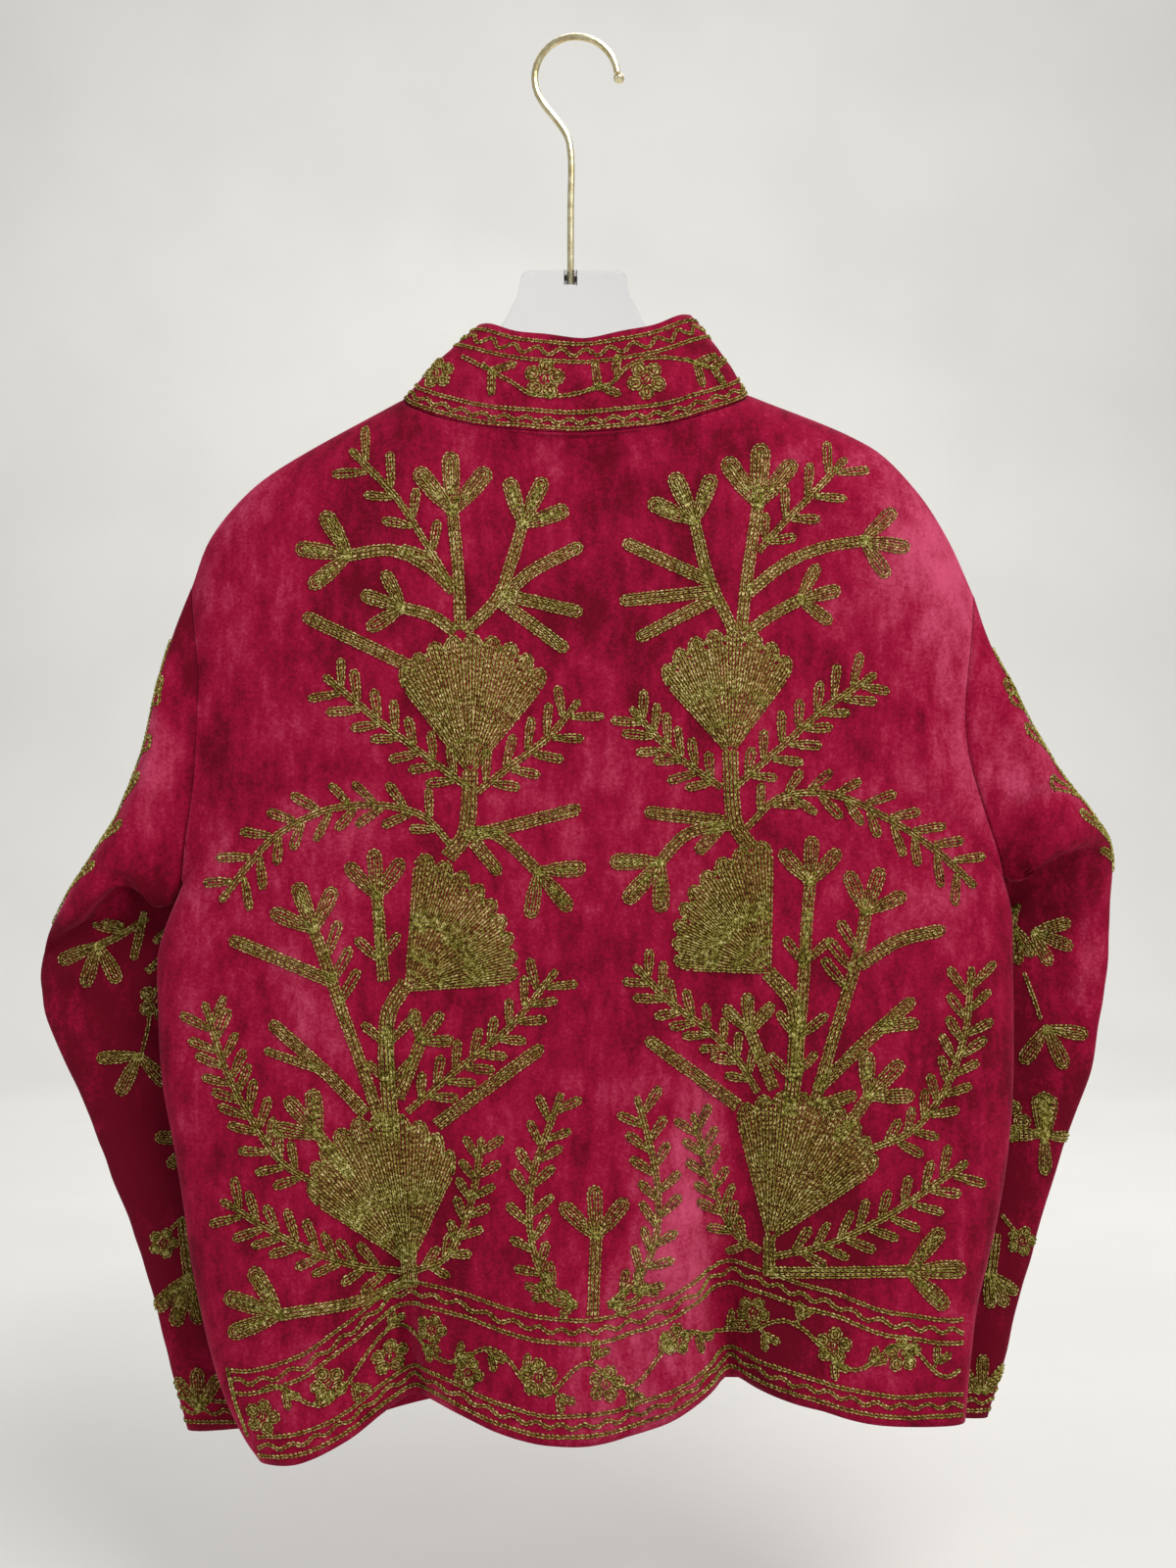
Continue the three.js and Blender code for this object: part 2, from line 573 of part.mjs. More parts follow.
// The wire's middle line: straight up, a bend to the side, then half a turn to the tip.
function hookPath() {
  const centre = new THREE.Vector3(HOOK_CENTRE, 0, -(HOOK_RADIUS - WIRE / 2));
  const foot = PLATE_TOP_Z - FERRULE_LENGTH + SEAM_GAP + 1;
  const points = [new THREE.Vector3(SHAFT_X, 0, foot), new THREE.Vector3(SHAFT_X, 0, -110),
    new THREE.Vector3(SHAFT_X, 0, SHAFT_TOP_Z), new THREE.Vector3(BEND_X, 0, BEND_Z)];
  for (let degrees = 218; degrees >= 8; degrees -= 14) {
    const angle = THREE.MathUtils.degToRad(degrees);
    points.push(new THREE.Vector3(centre.x + HOOK_RADIUS * Math.cos(angle), 0,
      centre.z + HOOK_RADIUS * Math.sin(angle)));
  }
  return points;
}

function hookPiece() {
  const section = new THREE.Shape().absarc(0, 0, WIRE / 2, 0, 2 * Math.PI);
  const path = new THREE.CatmullRomCurve3(hookPath(), false, 'centripetal');
  return new THREE.ExtrudeGeometry(section,
    { steps: 46, curveSegments: 5, extrudePath: path, bevelEnabled: false });
}

function ferrulePiece() {
  const bore = WIRE / 2 + SEAM_GAP;
  const outer = FERRULE_OUTER / 2;
  const profile = [[bore, 0], [outer, 0], [outer, FERRULE_LENGTH], [bore, FERRULE_LENGTH],
    [bore, 0]].map(([radius, height]) => new THREE.Vector2(radius, height));
  return new THREE.LatheGeometry(profile, 20).rotateX(Math.PI / 2)
    .translate(SHAFT_X, 0, PLATE_TOP_Z - FERRULE_LENGTH + SEAM_GAP);
}

function tipPiece() {
  const [before, end] = hookPath().slice(-2);
  const onward = end.clone().sub(before).normalize();
  const place = end.clone().addScaledVector(onward, TIP_BALL / 2 + SEAM_GAP);
  return new THREE.SphereGeometry(TIP_BALL / 2, 14, 10).translate(place.x, 0, place.z);
}

// ---- the jacket -----------------------------------------------------------------------

const group = new THREE.Group();

function add(name, geometry, material) {
  const mesh = new THREE.Mesh(geometry, material);
  mesh.name = name;
  group.add(mesh);
}

add('back', backPiece(), VELVET);
add('front_left', frontPiece('left'), VELVET_DARK);
add('front_right', frontPiece('right'), VELVET_DARK);
add('sleeve_left', sleevePiece('left'), VELVET);
add('sleeve_right', sleevePiece('right'), VELVET);
add('collar', collarPiece(), VELVET_DARK);
add('hanger', hangerPiece(), ACRYLIC);
add('hook', hookPiece(), BRASS);
add('ferrule', ferrulePiece(), BRASS);
add('hook_tip', tipPiece(), BRASS);

export default group;
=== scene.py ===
"""Velvet jacket with chain-stitch flowers, seen from its back, on a clear hanger with a wire hook."""

import math

import bpy
import numpy as np
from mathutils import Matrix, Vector
from mathutils.bvhtree import BVHTree


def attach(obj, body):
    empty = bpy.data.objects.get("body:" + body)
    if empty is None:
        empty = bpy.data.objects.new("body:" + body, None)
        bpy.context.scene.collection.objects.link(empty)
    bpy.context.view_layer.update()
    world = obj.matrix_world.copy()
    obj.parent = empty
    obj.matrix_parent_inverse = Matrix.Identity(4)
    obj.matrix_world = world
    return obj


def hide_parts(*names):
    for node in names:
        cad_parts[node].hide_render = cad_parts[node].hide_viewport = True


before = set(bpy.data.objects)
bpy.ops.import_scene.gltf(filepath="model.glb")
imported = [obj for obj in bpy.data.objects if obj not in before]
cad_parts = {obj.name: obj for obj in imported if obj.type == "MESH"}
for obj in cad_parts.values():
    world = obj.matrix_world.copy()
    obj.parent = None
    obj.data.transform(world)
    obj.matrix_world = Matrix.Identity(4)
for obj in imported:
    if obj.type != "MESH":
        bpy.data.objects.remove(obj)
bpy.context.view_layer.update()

MM = 0.001
RANDOM = np.random.default_rng(27)

# ---- camera ---------------------------------------------------------------------------
# The camera comes first. It looks level at the back panel. Sizes below are in millimetres.

IMAGE_HEIGHT = 1600
FOCAL_PIXELS = 1750
SENSOR = 36
CAMERA_PLACE = (6, -1086, -471)
PATTERN_Y = -36      # the plane in which the back's pattern is laid out


def make_camera():
    data = bpy.data.cameras.new("camera")
    data.sensor_width = SENSOR
    data.lens = SENSOR * FOCAL_PIXELS / IMAGE_HEIGHT
    data.clip_end = 50
    camera = bpy.data.objects.new("camera", data)
    camera.location = [c * MM for c in CAMERA_PLACE]
    camera.rotation_euler = (math.pi / 2, 0, 0)
    bpy.context.scene.collection.objects.link(camera)
    bpy.context.scene.camera = camera


make_camera()
bpy.context.scene.view_settings.view_transform = "Standard"

# ---- shader maths ---------------------------------------------------------------------

MIX_FIRST, MIX_SECOND, MIX_RESULT = 6, 7, 2      # the colour sockets of a Mix node


class Shade:
    """A node socket that can be used in sums. Plain numbers go in as they are."""

    def __init__(self, tree, socket):
        self.tree = tree
        self.socket = socket

    def node(self, kind, settings=(), inputs=(), output=0):
        made = self.tree.nodes.new(kind)
        for name, value in dict(settings).items():
            if name == "stops":
                ramp = made.color_ramp
                while len(ramp.elements) < len(value):
                    ramp.elements.new(0.5)
                for element, (place, colour) in zip(ramp.elements, value):
                    element.position = place
                    element.color = (*colour, 1)
            else:
                setattr(made, name, value)
        for key, value in dict(inputs).items():
            if isinstance(value, Shade):
                self.tree.links.new(value.socket, made.inputs[key])
            else:
                made.inputs[key].default_value = value
        return Shade(self.tree, made.outputs[output])

    def math(self, operation, *values):
        return self.node("ShaderNodeMath", {"operation": operation}, dict(enumerate(values)))

    def vector(self, operation, *values, output=0):
        return self.node("ShaderNodeVectorMath", {"operation": operation}, dict(enumerate(values)),
                         output)

    def __add__(self, other):
        return self.math("ADD", self, other)

    __radd__ = __add__

    def __sub__(self, other):
        return self.math("SUBTRACT", self, other)

    def __rsub__(self, other):
        return self.math("SUBTRACT", other, self)

    def __mul__(self, other):
        return self.math("MULTIPLY", self, other)

    __rmul__ = __mul__

    def between(self, low, high):
        """0 at low and 1 at high, eased."""
        return self.node("ShaderNodeMapRange", {"interpolation_type": "SMOOTHSTEP"},
                         {"Value": self, "From Min": low, "From Max": high})

    def noise(self, place, size, detail, rough, stretch=(1, 1, 1)):
        """Even noise about 0.5, with patches of that size in metres."""
        scaled = self.vector("MULTIPLY", place, tuple(s / size for s in stretch))
        return self.node("ShaderNodeTexNoise", {"noise_dimensions": "3D"},
                         {"Vector": scaled, "Scale": 1.0, "Detail": detail, "Roughness": rough})

    def mix(self, share, first, second):
        def colour(value):
            return value if isinstance(value, Shade) else (*value, 1)
        return self.node("ShaderNodeMix", {"data_type": "RGBA"},
                         {0: share, MIX_FIRST: colour(first), MIX_SECOND: colour(second)}, MIX_RESULT)

    def bump(self, height, distance, strength):
        return self.node("ShaderNodeBump", {},
                         {"Height": height, "Distance": distance, "Strength": strength})

    def patch(self, place, middle, half):
        """1 at the middle of a soft round patch and 0 outside it. Sizes in millimetres."""
        moved = self.vector("SUBTRACT", place, tuple(c * MM for c in middle))
        scaled = self.vector("DIVIDE", moved, tuple(c * MM for c in half))
        length = self.vector("LENGTH", scaled, output="Value")
        return 1 - length.between(0.0, 1.0)


def finish(name, constants, build):
    """A named finish. build(start, place) returns what changes over the surface."""
    material = bpy.data.materials.new(name)
    material.use_nodes = True
    tree = material.node_tree
    shader = tree.nodes["Principled BSDF"]
    for key, value in constants.items():
        shader.inputs[key].default_value = value
    start = Shade(tree, None)
    place = start.node("ShaderNodeTexCoord", output="Object")
    for key, value in build(start, place).items():
        tree.links.new(value.socket, shader.inputs[key])
    return material


# ---- finishes -------------------------------------------------------------------------

# Where the patches below push the velvet, its pale nap colour is painted sheen and its deep colour
# painted shade.
VELVET_DEEP = (0.140, 0.0006, 0.012)
VELVET_MID = (0.330, 0.0028, 0.036)
VELVET_NAP_AND_PAINTED_SHEEN = (0.640, 0.080, 0.170)
# The thread's darkest and lightest tones are painted shade in its gaps and painted highlight on its
# strands.
THREAD_DARK_AND_PAINTED_SHADE = (0.060, 0.040, 0.005)
THREAD_MID = (0.350, 0.300, 0.045)
THREAD_PALE_AND_PAINTED_HIGHLIGHT = (1.0, 0.90, 0.42)

# Patches where the velvet turns pale, or dark where the amount is below 0: middle, half size and
# amount. They are partly brushed-up and flattened nap and partly painted light: painted sheen on the
# shoulders, upper sleeves and side edges, painted highlight and shade on either side of folds, and
# painted shade in the hollows under the sleeves' folds.
NAP_AND_PAINTED_LIGHT = [
    ((20, -40, -800), (90, 60, 190), 0.34),
    ((70, -40, -690), (60, 60, 150), 0.26),
    ((-225, -10, -340), (90, 90, 130), 0.30),
    ((235, -10, -340), (100, 90, 140), 0.62),
    ((262, -10, -450), (70, 60, 90), 0.50),
    ((-300, 0, -470), (80, 80, 110), 0.36),
    ((306, 0, -470), (80, 80, 100), 0.50),
    ((-232, -20, -640), (40, 60, 200), 0.26),
    ((-262, -20, -450), (34, 70, 110), 0.62),
    ((-300, -20, -530), (40, 70, 60), 0.30),
    ((200, -30, -540), (110, 60, 60), 0.24),
    ((-180, -30, -500), (110, 60, 50), 0.16),
    # Painted highlight and painted shade on either side of the fold near the hem, right of the middle.
    ((64, -40, -790), (32, 60, 170), 0.30),
    ((118, -30, -780), (30, 60, 170), -0.42),
    ((330, 16, -590), (26, 60, 80), 0.55),
    # Painted shade in the hollows under the sleeves' folds.
    ((262, 46, -556), (42, 34, 62), -1.4),
    ((-244, 46, -560), (46, 34, 56), -1.4),
    ((-130, -30, -800), (60, 60, 110), -0.20),
    ((160, -30, -740), (70, 60, 110), -0.16),
    ((10, -30, -490), (90, 60, 130), 0.22),
]


def velvet_surface(painted_shade):
    """Crushed velvet, with the painted light and shade of the patches above. Its one argument darkens
    all of it, as painted shade.
    """
    def build(s, place):
        broad = s.noise(place, 0.11, 3, 0.55, (1, 1, 0.7))
        blotch = s.noise(place, 0.030, 5, 0.66, (1, 1, 0.8))
        streak = s.noise(place, 0.009, 3, 0.6, (1, 1, 0.35))
        pile = s.noise(place, 0.0020, 3, 0.7)
        # The patches' nap together with their painted light and shade.
        lift = 0.0
        for middle, half, amount in NAP_AND_PAINTED_LIGHT:
            lift = s.patch(place, middle, half) * amount + lift
        crush_and_painted_light = (broad * 0.55 + blotch * 0.75 + streak * 0.55 + pile * 0.55 + lift * 0.6
                   + 0.01 - painted_shade)
        deep = s.mix(crush_and_painted_light.between(0.98, 1.32), VELVET_DEEP, VELVET_MID)
        colour = s.mix(crush_and_painted_light.between(1.24, 1.78), deep, VELVET_NAP_AND_PAINTED_SHEEN)
        height = pile * 0.6 + blotch * 0.9
        return {"Base Color": colour, "Roughness": 0.95 - 0.12 * blotch,
                "Normal": s.bump(height, 0.0012, 0.8)}
    return build


VELVET_SHEEN = {"Sheen Weight": 0.42, "Sheen Roughness": 0.30, "Sheen Tint": (1.0, 0.16, 0.29, 1),
                "Specular IOR Level": 0.12}
# The sleeves' velvet is the body's velvet darkened all over: painted shade.
BODY_PAINTED_SHADE = 0.0
SLEEVE_PAINTED_SHADE = 0.17
VELVET = finish("velvet", VELVET_SHEEN, velvet_surface(BODY_PAINTED_SHADE))
VELVET_SLEEVE_SHADED = finish("velvet_sleeve", VELVET_SHEEN, velvet_surface(SLEEVE_PAINTED_SHADE))

# Where the thread is a little lighter: middle and half size.
LIGHTER_THREAD_PATCH = ((0, -40, -330), (300, 120, 190))


def thread_surface(s, place):
    skein = s.noise(place, 0.030, 2, 0.5)
    strand = s.noise(place, 0.0021, 3, 0.7)
    fibre = s.noise(place, 0.0006, 2, 0.6)
    lighter_patch = s.patch(place, *LIGHTER_THREAD_PATCH)
    # The tone varies at random over the strands; its dark and light ends are painted shade and painted
    # highlight.
    tone = skein * 0.12 + strand * 0.95 + fibre * 0.25 + lighter_patch * 0.045
    low = s.mix(tone.between(0.52, 0.68), THREAD_DARK_AND_PAINTED_SHADE, THREAD_MID)
    colour = s.mix(tone.between(0.66, 0.86), low, THREAD_PALE_AND_PAINTED_HIGHLIGHT)
    return {"Base Color": colour, "Normal": s.bump(fibre, 0.0004, 0.6)}


THREAD = finish("olive_thread", {
    "Roughness": 0.8, "Specular IOR Level": 0.12}, thread_surface)


def acrylic_surface(s, place):
    dust = s.noise(place, 0.004, 4, 0.6)
    return {"Roughness": 0.02 + 0.05 * dust.between(0.5, 0.8)}


ACRYLIC = finish("clear_acrylic", {
    "Base Color": (0.94, 0.94, 0.96, 1), "Transmission Weight": 1.0, "IOR": 1.49}, acrylic_surface)


def brass_surface(s, place):
    wear = s.noise(place, 0.006, 3, 0.6)
    drawn = s.noise(place, 0.0008, 2, 0.5, (1, 1, 0.1))
    colour = s.mix(wear.between(0.35, 0.7), (0.72, 0.60, 0.32), (0.93, 0.85, 0.56))
    return {"Base Color": colour, "Roughness": 0.16 + 0.16 * wear,
            "Normal": s.bump(drawn, 0.0001, 0.3)}


BRASS = finish("pale_brass", {"Metallic": 1.0}, brass_surface)

# ---- mesh helpers ---------------------------------------------------------------------


def mesh_piece(name, points, faces, finish_used):
    """A piece of the jacket, from points in millimetres."""
    mesh = bpy.data.meshes.new(name)
    mesh.from_pydata((np.asarray(points) * MM).tolist(), [], [tuple(face) for face in faces])
    mesh.materials.append(finish_used)
    mesh.shade_smooth()
    mesh.validate()
    piece = bpy.data.objects.new(name, mesh)
    bpy.context.scene.collection.objects.link(piece)
    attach(piece, "root")
    return piece


def smoothstep(value, low, high):
    t = np.clip((value - low) / (high - low), 0, 1)
    return t * t * (3 - 2 * t)


def distances(points):
    """How far along a line each of its points lies."""
    return np.concatenate([[0], np.cumsum(np.linalg.norm(np.diff(points, axis=0), axis=1))])


def curve_through(rows):
    """A smooth line through points, read by its share of the length along them."""
    points = np.array(rows, float)
    at = distances(points)
    before = np.maximum(np.arange(len(points)) - 1, 0)
    after = np.minimum(np.arange(len(points)) + 1, len(points) - 1)
    slope = (points[after] - points[before]) / (at[after] - at[before])[:, None]

    def read(share):
        along = np.asarray(share, float) * at[-1]
        i = np.clip(np.searchsorted(at, along, side="left") - 1, 0, len(points) - 2)
        span = (at[i + 1] - at[i])[..., None]
        t = (along - at[i])[..., None] / span
        return (points[i] * (1 + 2 * t) * (1 - t) ** 2 + slope[i] * span * t * (1 - t) ** 2
                + points[i + 1] * t * t * (3 - 2 * t) - slope[i + 1] * span * t * t * (1 - t))
    return read


def outward(grid, turn, closed):
    """Unit normals of a grid of points. turn is 1 or -1, whichever makes them point outwards."""
    across = np.roll(grid, -1, 1) - np.roll(grid, 1, 1) if closed else np.gradient(grid, axis=1)
    normal = np.cross(across, np.gradient(grid, axis=0)) * turn
    return normal / np.maximum(np.linalg.norm(normal, axis=2, keepdims=True), 1e-9)


# ---- the jacket's cut, as hung --------------------------------------------------------
# The same sizes as the solids have. The folds over the elbows reach a little further here, and
# their edges rise.

WALL = 2.4
COLLAR_WALL = 2.8
HALF_GAP = 0.15
PIT_SHARE = 0.66
ARMHOLE_HALF_DEPTH = 19
SHOULDER_ROUND = 45
PANEL_HEIGHT = 540
NECK_BACK_DEPTH = 32
NECK_FRONT_DEPTH = 34
FRONT_NECK_Z = -300
BACK_SIDE_POWER = 4.5
FRONT_SIDE_POWER = 3
ARMHOLE_POWER = 6
CROWN_TURN = (0.42, 0.86)
VENT_SHARE = 70 / PANEL_HEIGHT
VENT_SPREAD = 5
FRONT_OPEN_TOP = 1.5
FRONT_OPEN_HEM = 7
FRONT_HEM_Z = -846
BACK_NECK_SHARE = 0.271
FRONT_NECK_SHARE = 0.4105

COLLAR_TOP_HALF = 67
COLLAR_TOP_CENTRE = 4
COLLAR_TOP_TILT = 6
COLLAR_TOP_BACK = 27
COLLAR_TOP_FRONT = 30
COLLAR_TOP_Z = -180
COLLAR_BACK_DIP = 15
COLLAR_FRONT_DIP = 64
COLLAR_BELLY = 2.5

SIGN = {"left": -1, "right": 1}      # the way outwards, in x

# (x, z) from hem to pit, from pit to shoulder point, and so on.
LEFT_SIDE = [(-199, -890), (-208, -878), (-221, -853), (-231, -823), (-237, -797), (-243, -767),
             (-247, -737), (-253, -700), (-261, -656), (-264, -610), (-264, -575), (-250, -535)]
RIGHT_SIDE = [(241, -866), (243, -848), (246, -822), (250, -795), (256, -770), (262, -744),
              (268, -710), (272, -670), (273, -620), (273, -580), (273, -552), (268, -530)]
LEFT_ARMHOLE = [(-250, -535), (-245, -502), (-240, -471), (-237, -422), (-237, -400), (-245, -347)]
RIGHT_ARMHOLE = [(268, -530), (262, -512), (253, -487), (243, -453), (241, -420), (250, -352)]
SHOULDER = {"left": [(-245, -347), (-233, -316), (-208, -286), (-180, -266), (-111, -228)],
            "right": [(250, -352), (234, -317), (213, -285), (183, -257), (107, -225)]}
BACK_NECK = [(-111, -228), (-107, -234), (-85, -244), (-54, -251), (0, -255), (54, -249),
             (88, -238), (104, -230), (107, -225)]
BACK_HEM = [(-199, -890), (-170, -885), (-141, -872), (-118, -858), (-98, -853), (-74, -857),
            (-50, -865), (-20, -871), (20, -871), (52, -862), (80, -847), (96, -841), (110, -845),
            (140, -853), (180, -861), (241, -866)]

# share of height, half depth of the back, half depth of the front
DEPTHS = np.array([(0, 42, 26), (0.25, 40, 26), (0.5, 36, 26), (0.66, 32, 25), (0.85, 28, 24),
                   (1, 25, 24)], float)

# x at the hem, lean, top, half width to the left and right, depth inwards
BACK_FOLDS = [(-104, -16, -680, 19, 25, 32), (95, -6, -560, 14, 26, 30), (-8, -4, -640, 46, 46, -8),
              (-172, 4, -700, 34, 26, -8), (176, -6, -640, 36, 40, -5), (30, 10, -600, 16, 24, 6),
              (150, 22, -590, 20, 26, 7)]
FRONT_FOLDS = [(-92, -12, -640, 20, 24, 10), (86, 10, -620, 22, 20, 10), (-40, 0, -560, 24, 24, -5),
               (38, 4, -600, 24, 24, -5)]

# Finer creases of the cloth: both ends, half width, depth inwards.
BACK_CREASES = [
    ((88, -560), (95, -850), 5, 6.5), ((105, -620), (118, -850), 9, -3.5),
    ((-112, -740), (-101, -850), 6, 3.5), ((-90, -760), (-84, -850), 8, -2.5),
    ((-97, -770), (-96, -858), 3, 3.5), ((91, -740), (92, -858), 3, 4.0),
    ((225, -395), (238, -470), 7, 3.0), ((212, -400), (222, -480), 8, -1.8),
    ((-222, -400), (-230, -500), 8, 2.4), ((-205, -420), (-212, -520), 10, -1.6),
    ((-150, -640), (-120, -740), 9, 1.8), ((-60, -600), (-20, -700), 12, 1.6),
    ((150, -600), (220, -560), 9, 1.9), ((120, -640), (200, -625), 10, -1.6),
    ((-230, -600), (-170, -640), 10, 1.5), ((0, -700), (60, -640), 11, 1.4),
    ((-40, -300), (50, -296), 12, 1.2), ((90, -290), (190, -330), 13, 1.6),
    ((-90, -290), (-190, -336), 13, 1.6), ((20, -560), (24, -760), 9, 1.6),
    ((-20, -640), (-30, -830), 9, 1.5), ((160, -760), (172, -850), 8, 2.2),
    ((-180, -780), (-160, -872), 9, 2.0), ((205, -700), (222, -852), 9, 1.8),
    ((-236, -560), (-190, -530), 9, 2.2), ((262, -556), (205, -520), 9, 2.2),
]
FRONT_CREASES = [
    ((-226, -400), (-214, -500), 9, 2.5), ((226, -400), (214, -500), 9, 2.5),
    ((-170, -640), (-110, -720), 10, 2.0), ((170, -650), (105, -735), 10, 2.0),
    ((-60, -400), (-50, -620), 11, 1.8), ((62, -410), (48, -600), 11, 1.8),
    ((-130, -330), (-60, -380), 12, 1.5), ((130, -335), (60, -380), 12, 1.5),
    ((-120, -760), (-126, -850), 8, 2.0), ((126, -750), (130, -850), 8, 2.0),
]
RIPPLE_WAVES = 7
CREASE_BOW = 0.06        # how far a crease bends aside, as a share of its length
NARROW_FOLD = 30         # folds with less half width than this have sharper crests


def ripple(x, z, size, seed):
    """Low uneven waves of the cloth, about 1 high, with crests `size` apart."""
    draw = np.random.default_rng(seed)
    height = np.zeros(np.shape(x))
    for _ in range(RIPPLE_WAVES):
        angle = draw.uniform(0, math.pi)
        length = size * draw.uniform(0.7, 1.5)
        phase = draw.uniform(0, 2 * math.pi)
        bend = draw.uniform(0.3, 0.8)
        across = x * math.cos(angle) + z * math.sin(angle)
        along = -x * math.sin(angle) + z * math.cos(angle)
        height += np.sin(2 * math.pi * across / length + phase
                         + bend * np.sin(2 * math.pi * along / (2.3 * length) + phase * 2))
    return height / (RIPPLE_WAVES / 2)


def creases(table, x, z):
    """How far the listed creases press a place into the cloth."""
    depth = np.zeros(np.shape(x))
    for (x0, z0), (x1, z1), width, amount in table:
        run = np.array((x1 - x0, z1 - z0), float)
        length = np.hypot(*run)
        run /= length
        along = ((x - x0) * run[0] + (z - z0) * run[1]) / length
        bow = CREASE_BOW * length * np.sin(math.pi * np.clip(along, 0, 1))
        across = (x - x0) * -run[1] + (z - z0) * run[0] + bow
        ends = smoothstep(along, -0.15, 0.25) * (1 - smoothstep(along, 0.75, 1.15))
        depth += amount * ends * np.exp(-(across / width) ** 2)
    return depth


def long_folds(table, x, z, hem_z):
    """How far the hanging folds press a place inwards. They fade out upwards."""
    depth = np.zeros(np.shape(x))
    for fold_x, lean, top, left, right, amount in table:
        rise = np.clip((z - hem_z) / (top - hem_z), 0, 1)
        off = x - (fold_x + lean * rise)
        width = np.where(off < 0, left, right)
        sharp = np.where(width < NARROW_FOLD, 1.4, 2)
        depth += amount * (1 - rise) ** 1.4 * np.exp(-np.abs(off / width) ** sharp)
    return depth


def side_edge(side, armhole):
    """The side seam and the armhole as one line, read by its share of the way up."""
    lower, upper = curve_through(side), curve_through(armhole)

    def read(share):
        share = np.asarray(share, float)
        low = lower(np.clip(share / PIT_SHARE, 0, 1))
        high = upper(np.clip((share - PIT_SHARE) / (1 - PIT_SHARE), 0, 1))
        return np.where((share < PIT_SHARE)[..., None], low, high)
    return read


EDGE = {"left": side_edge(LEFT_SIDE, LEFT_ARMHOLE), "right": side_edge(RIGHT_SIDE, RIGHT_ARMHOLE)}


def fill(bottom, top, left, right, u, v):
    """Four edges filled with an even net of lines, u across and v up."""
    u, v = u[..., None], v[..., None]
    ends = [left(np.array(0.0)), right(np.array(0.0)), left(np.array(1.0)), right(np.array(1.0))]
    flat = bottom(u[..., 0]) * (1 - v) + top(u[..., 0]) * v
    flat += left(v[..., 0]) * (1 - u) + right(v[..., 0]) * u
    for corner, share in zip(ends, ((1 - u) * (1 - v), u * (1 - v), (1 - u) * v, u * v)):
        flat -= corner * share
    return flat


def edge_depth(v):
    """Half depth of the body at its edges: none at the side seams, most in the armholes."""
    along = np.clip((v - PIT_SHARE) / (1 - PIT_SHARE), 0, 1)
    return ARMHOLE_HALF_DEPTH * np.sqrt(np.maximum(0, 1 - (2 * along - 1) ** 2))


def panel_depth(deep, neck, v, out, power):
    """How far a panel stands off the middle, up to the turn over the shoulder."""
    down = np.minimum(1, (1 - v) * PANEL_HEIGHT / SHOULDER_ROUND)
    turn = np.sqrt(np.maximum(0, 1 - (1 - down) ** 2))
    edge = edge_depth(v)
    around = np.maximum(0, 1 - out ** power) ** (1 / power)
    share = around + (1 - out ** ARMHOLE_POWER - around) * smoothstep(v, *CROWN_TURN)
    return (1 - turn) * neck + turn * (edge + (deep - edge) * share)


def vent_depth(v, out):
    """How far back and front part at the foot of the side seams."""
    return VENT_SPREAD * np.maximum(0, 1 - v / VENT_SHARE) * out ** 8


def settle(v, out):
    """Where the finer creases may show: not on the seams and edges."""
    hem = smoothstep(v, 0.0, 0.03) * 0.4 + 0.6
    return hem * (1 - out ** 10) * (1 - smoothstep(v, 0.93, 0.985))


# Shares across at which the cloth has its lines of points, close together at the seams.
EDGE_COLUMNS = [0, 0.001, 0.003, 0.006, 0.010, 0.015, 0.022, 0.031]
BACK_COLUMNS = np.array(EDGE_COLUMNS + list(np.linspace(0.042, 0.958, 112))
                        + [1 - c for c in reversed(EDGE_COLUMNS)])
FRONT_COLUMNS = np.array(EDGE_COLUMNS + list(np.linspace(0.042, 1, 52)))
# Rows below the pits, rows up to the shoulder's turn, and rows round it.
BACK_ROWS = (78, 34, 10)
FRONT_ROWS = (66, 28, 9)
TURN_SHARE = SHOULDER_ROUND / PANEL_HEIGHT


def panel_rows(lower, middle, turn):
    """Even rows up to the shoulder's turn, then rows evenly round it."""
    start = 1 - TURN_SHARE
    angles = np.linspace(math.pi / 2, 0, turn + 1)[1:]
    return np.concatenate([np.linspace(0, PIT_SHARE, lower, endpoint=False),
                           np.linspace(PIT_SHARE, start, middle),
                           1 - TURN_SHARE * (1 - np.cos(angles))])


def back_points(u, v):
    """Outer points of the back for shares across and up."""
    hem = curve_through(BACK_HEM)
    left_shoulder, right_shoulder = curve_through(SHOULDER["left"]), curve_through(SHOULDER["right"])
    neck = curve_through(BACK_NECK)
    first, last = BACK_NECK_SHARE, 1 - BACK_NECK_SHARE

    def top(share):
        left = left_shoulder(np.clip(share / first, 0, 1))
        right = right_shoulder(np.clip((1 - share) / first, 0, 1))
        middle = neck(np.clip((share - first) / (last - first), 0, 1))
        pick = share[..., None]
        return np.where(pick <= first, left, np.where(pick >= last, right, middle))

    flat = fill(hem, top, EDGE["left"], EDGE["right"], u, v)
    x, z = flat[..., 0], flat[..., 1]
    out = np.abs(2 * u - 1)
    across = np.clip(out / (1 - 2 * first), 0, 1)
    collar = NECK_BACK_DEPTH * np.sqrt(1 - across ** 2)
    hem_z = hem(u)[..., 1]
    folds = long_folds(BACK_FOLDS, x, z, hem_z) * (1 - out ** 8)
    fine = creases(BACK_CREASES, x, z) + 0.9 * ripple(x, z, 90, 5) + 0.35 * ripple(x, z, 31, 8)
    deep = np.interp(v, DEPTHS[:, 0], DEPTHS[:, 1])
    depth = panel_depth(deep, collar, v, out, BACK_SIDE_POWER)
    y = folds + fine * settle(v, out) - depth - HALF_GAP - vent_depth(v, out)
    return np.stack([x, y, z], -1)


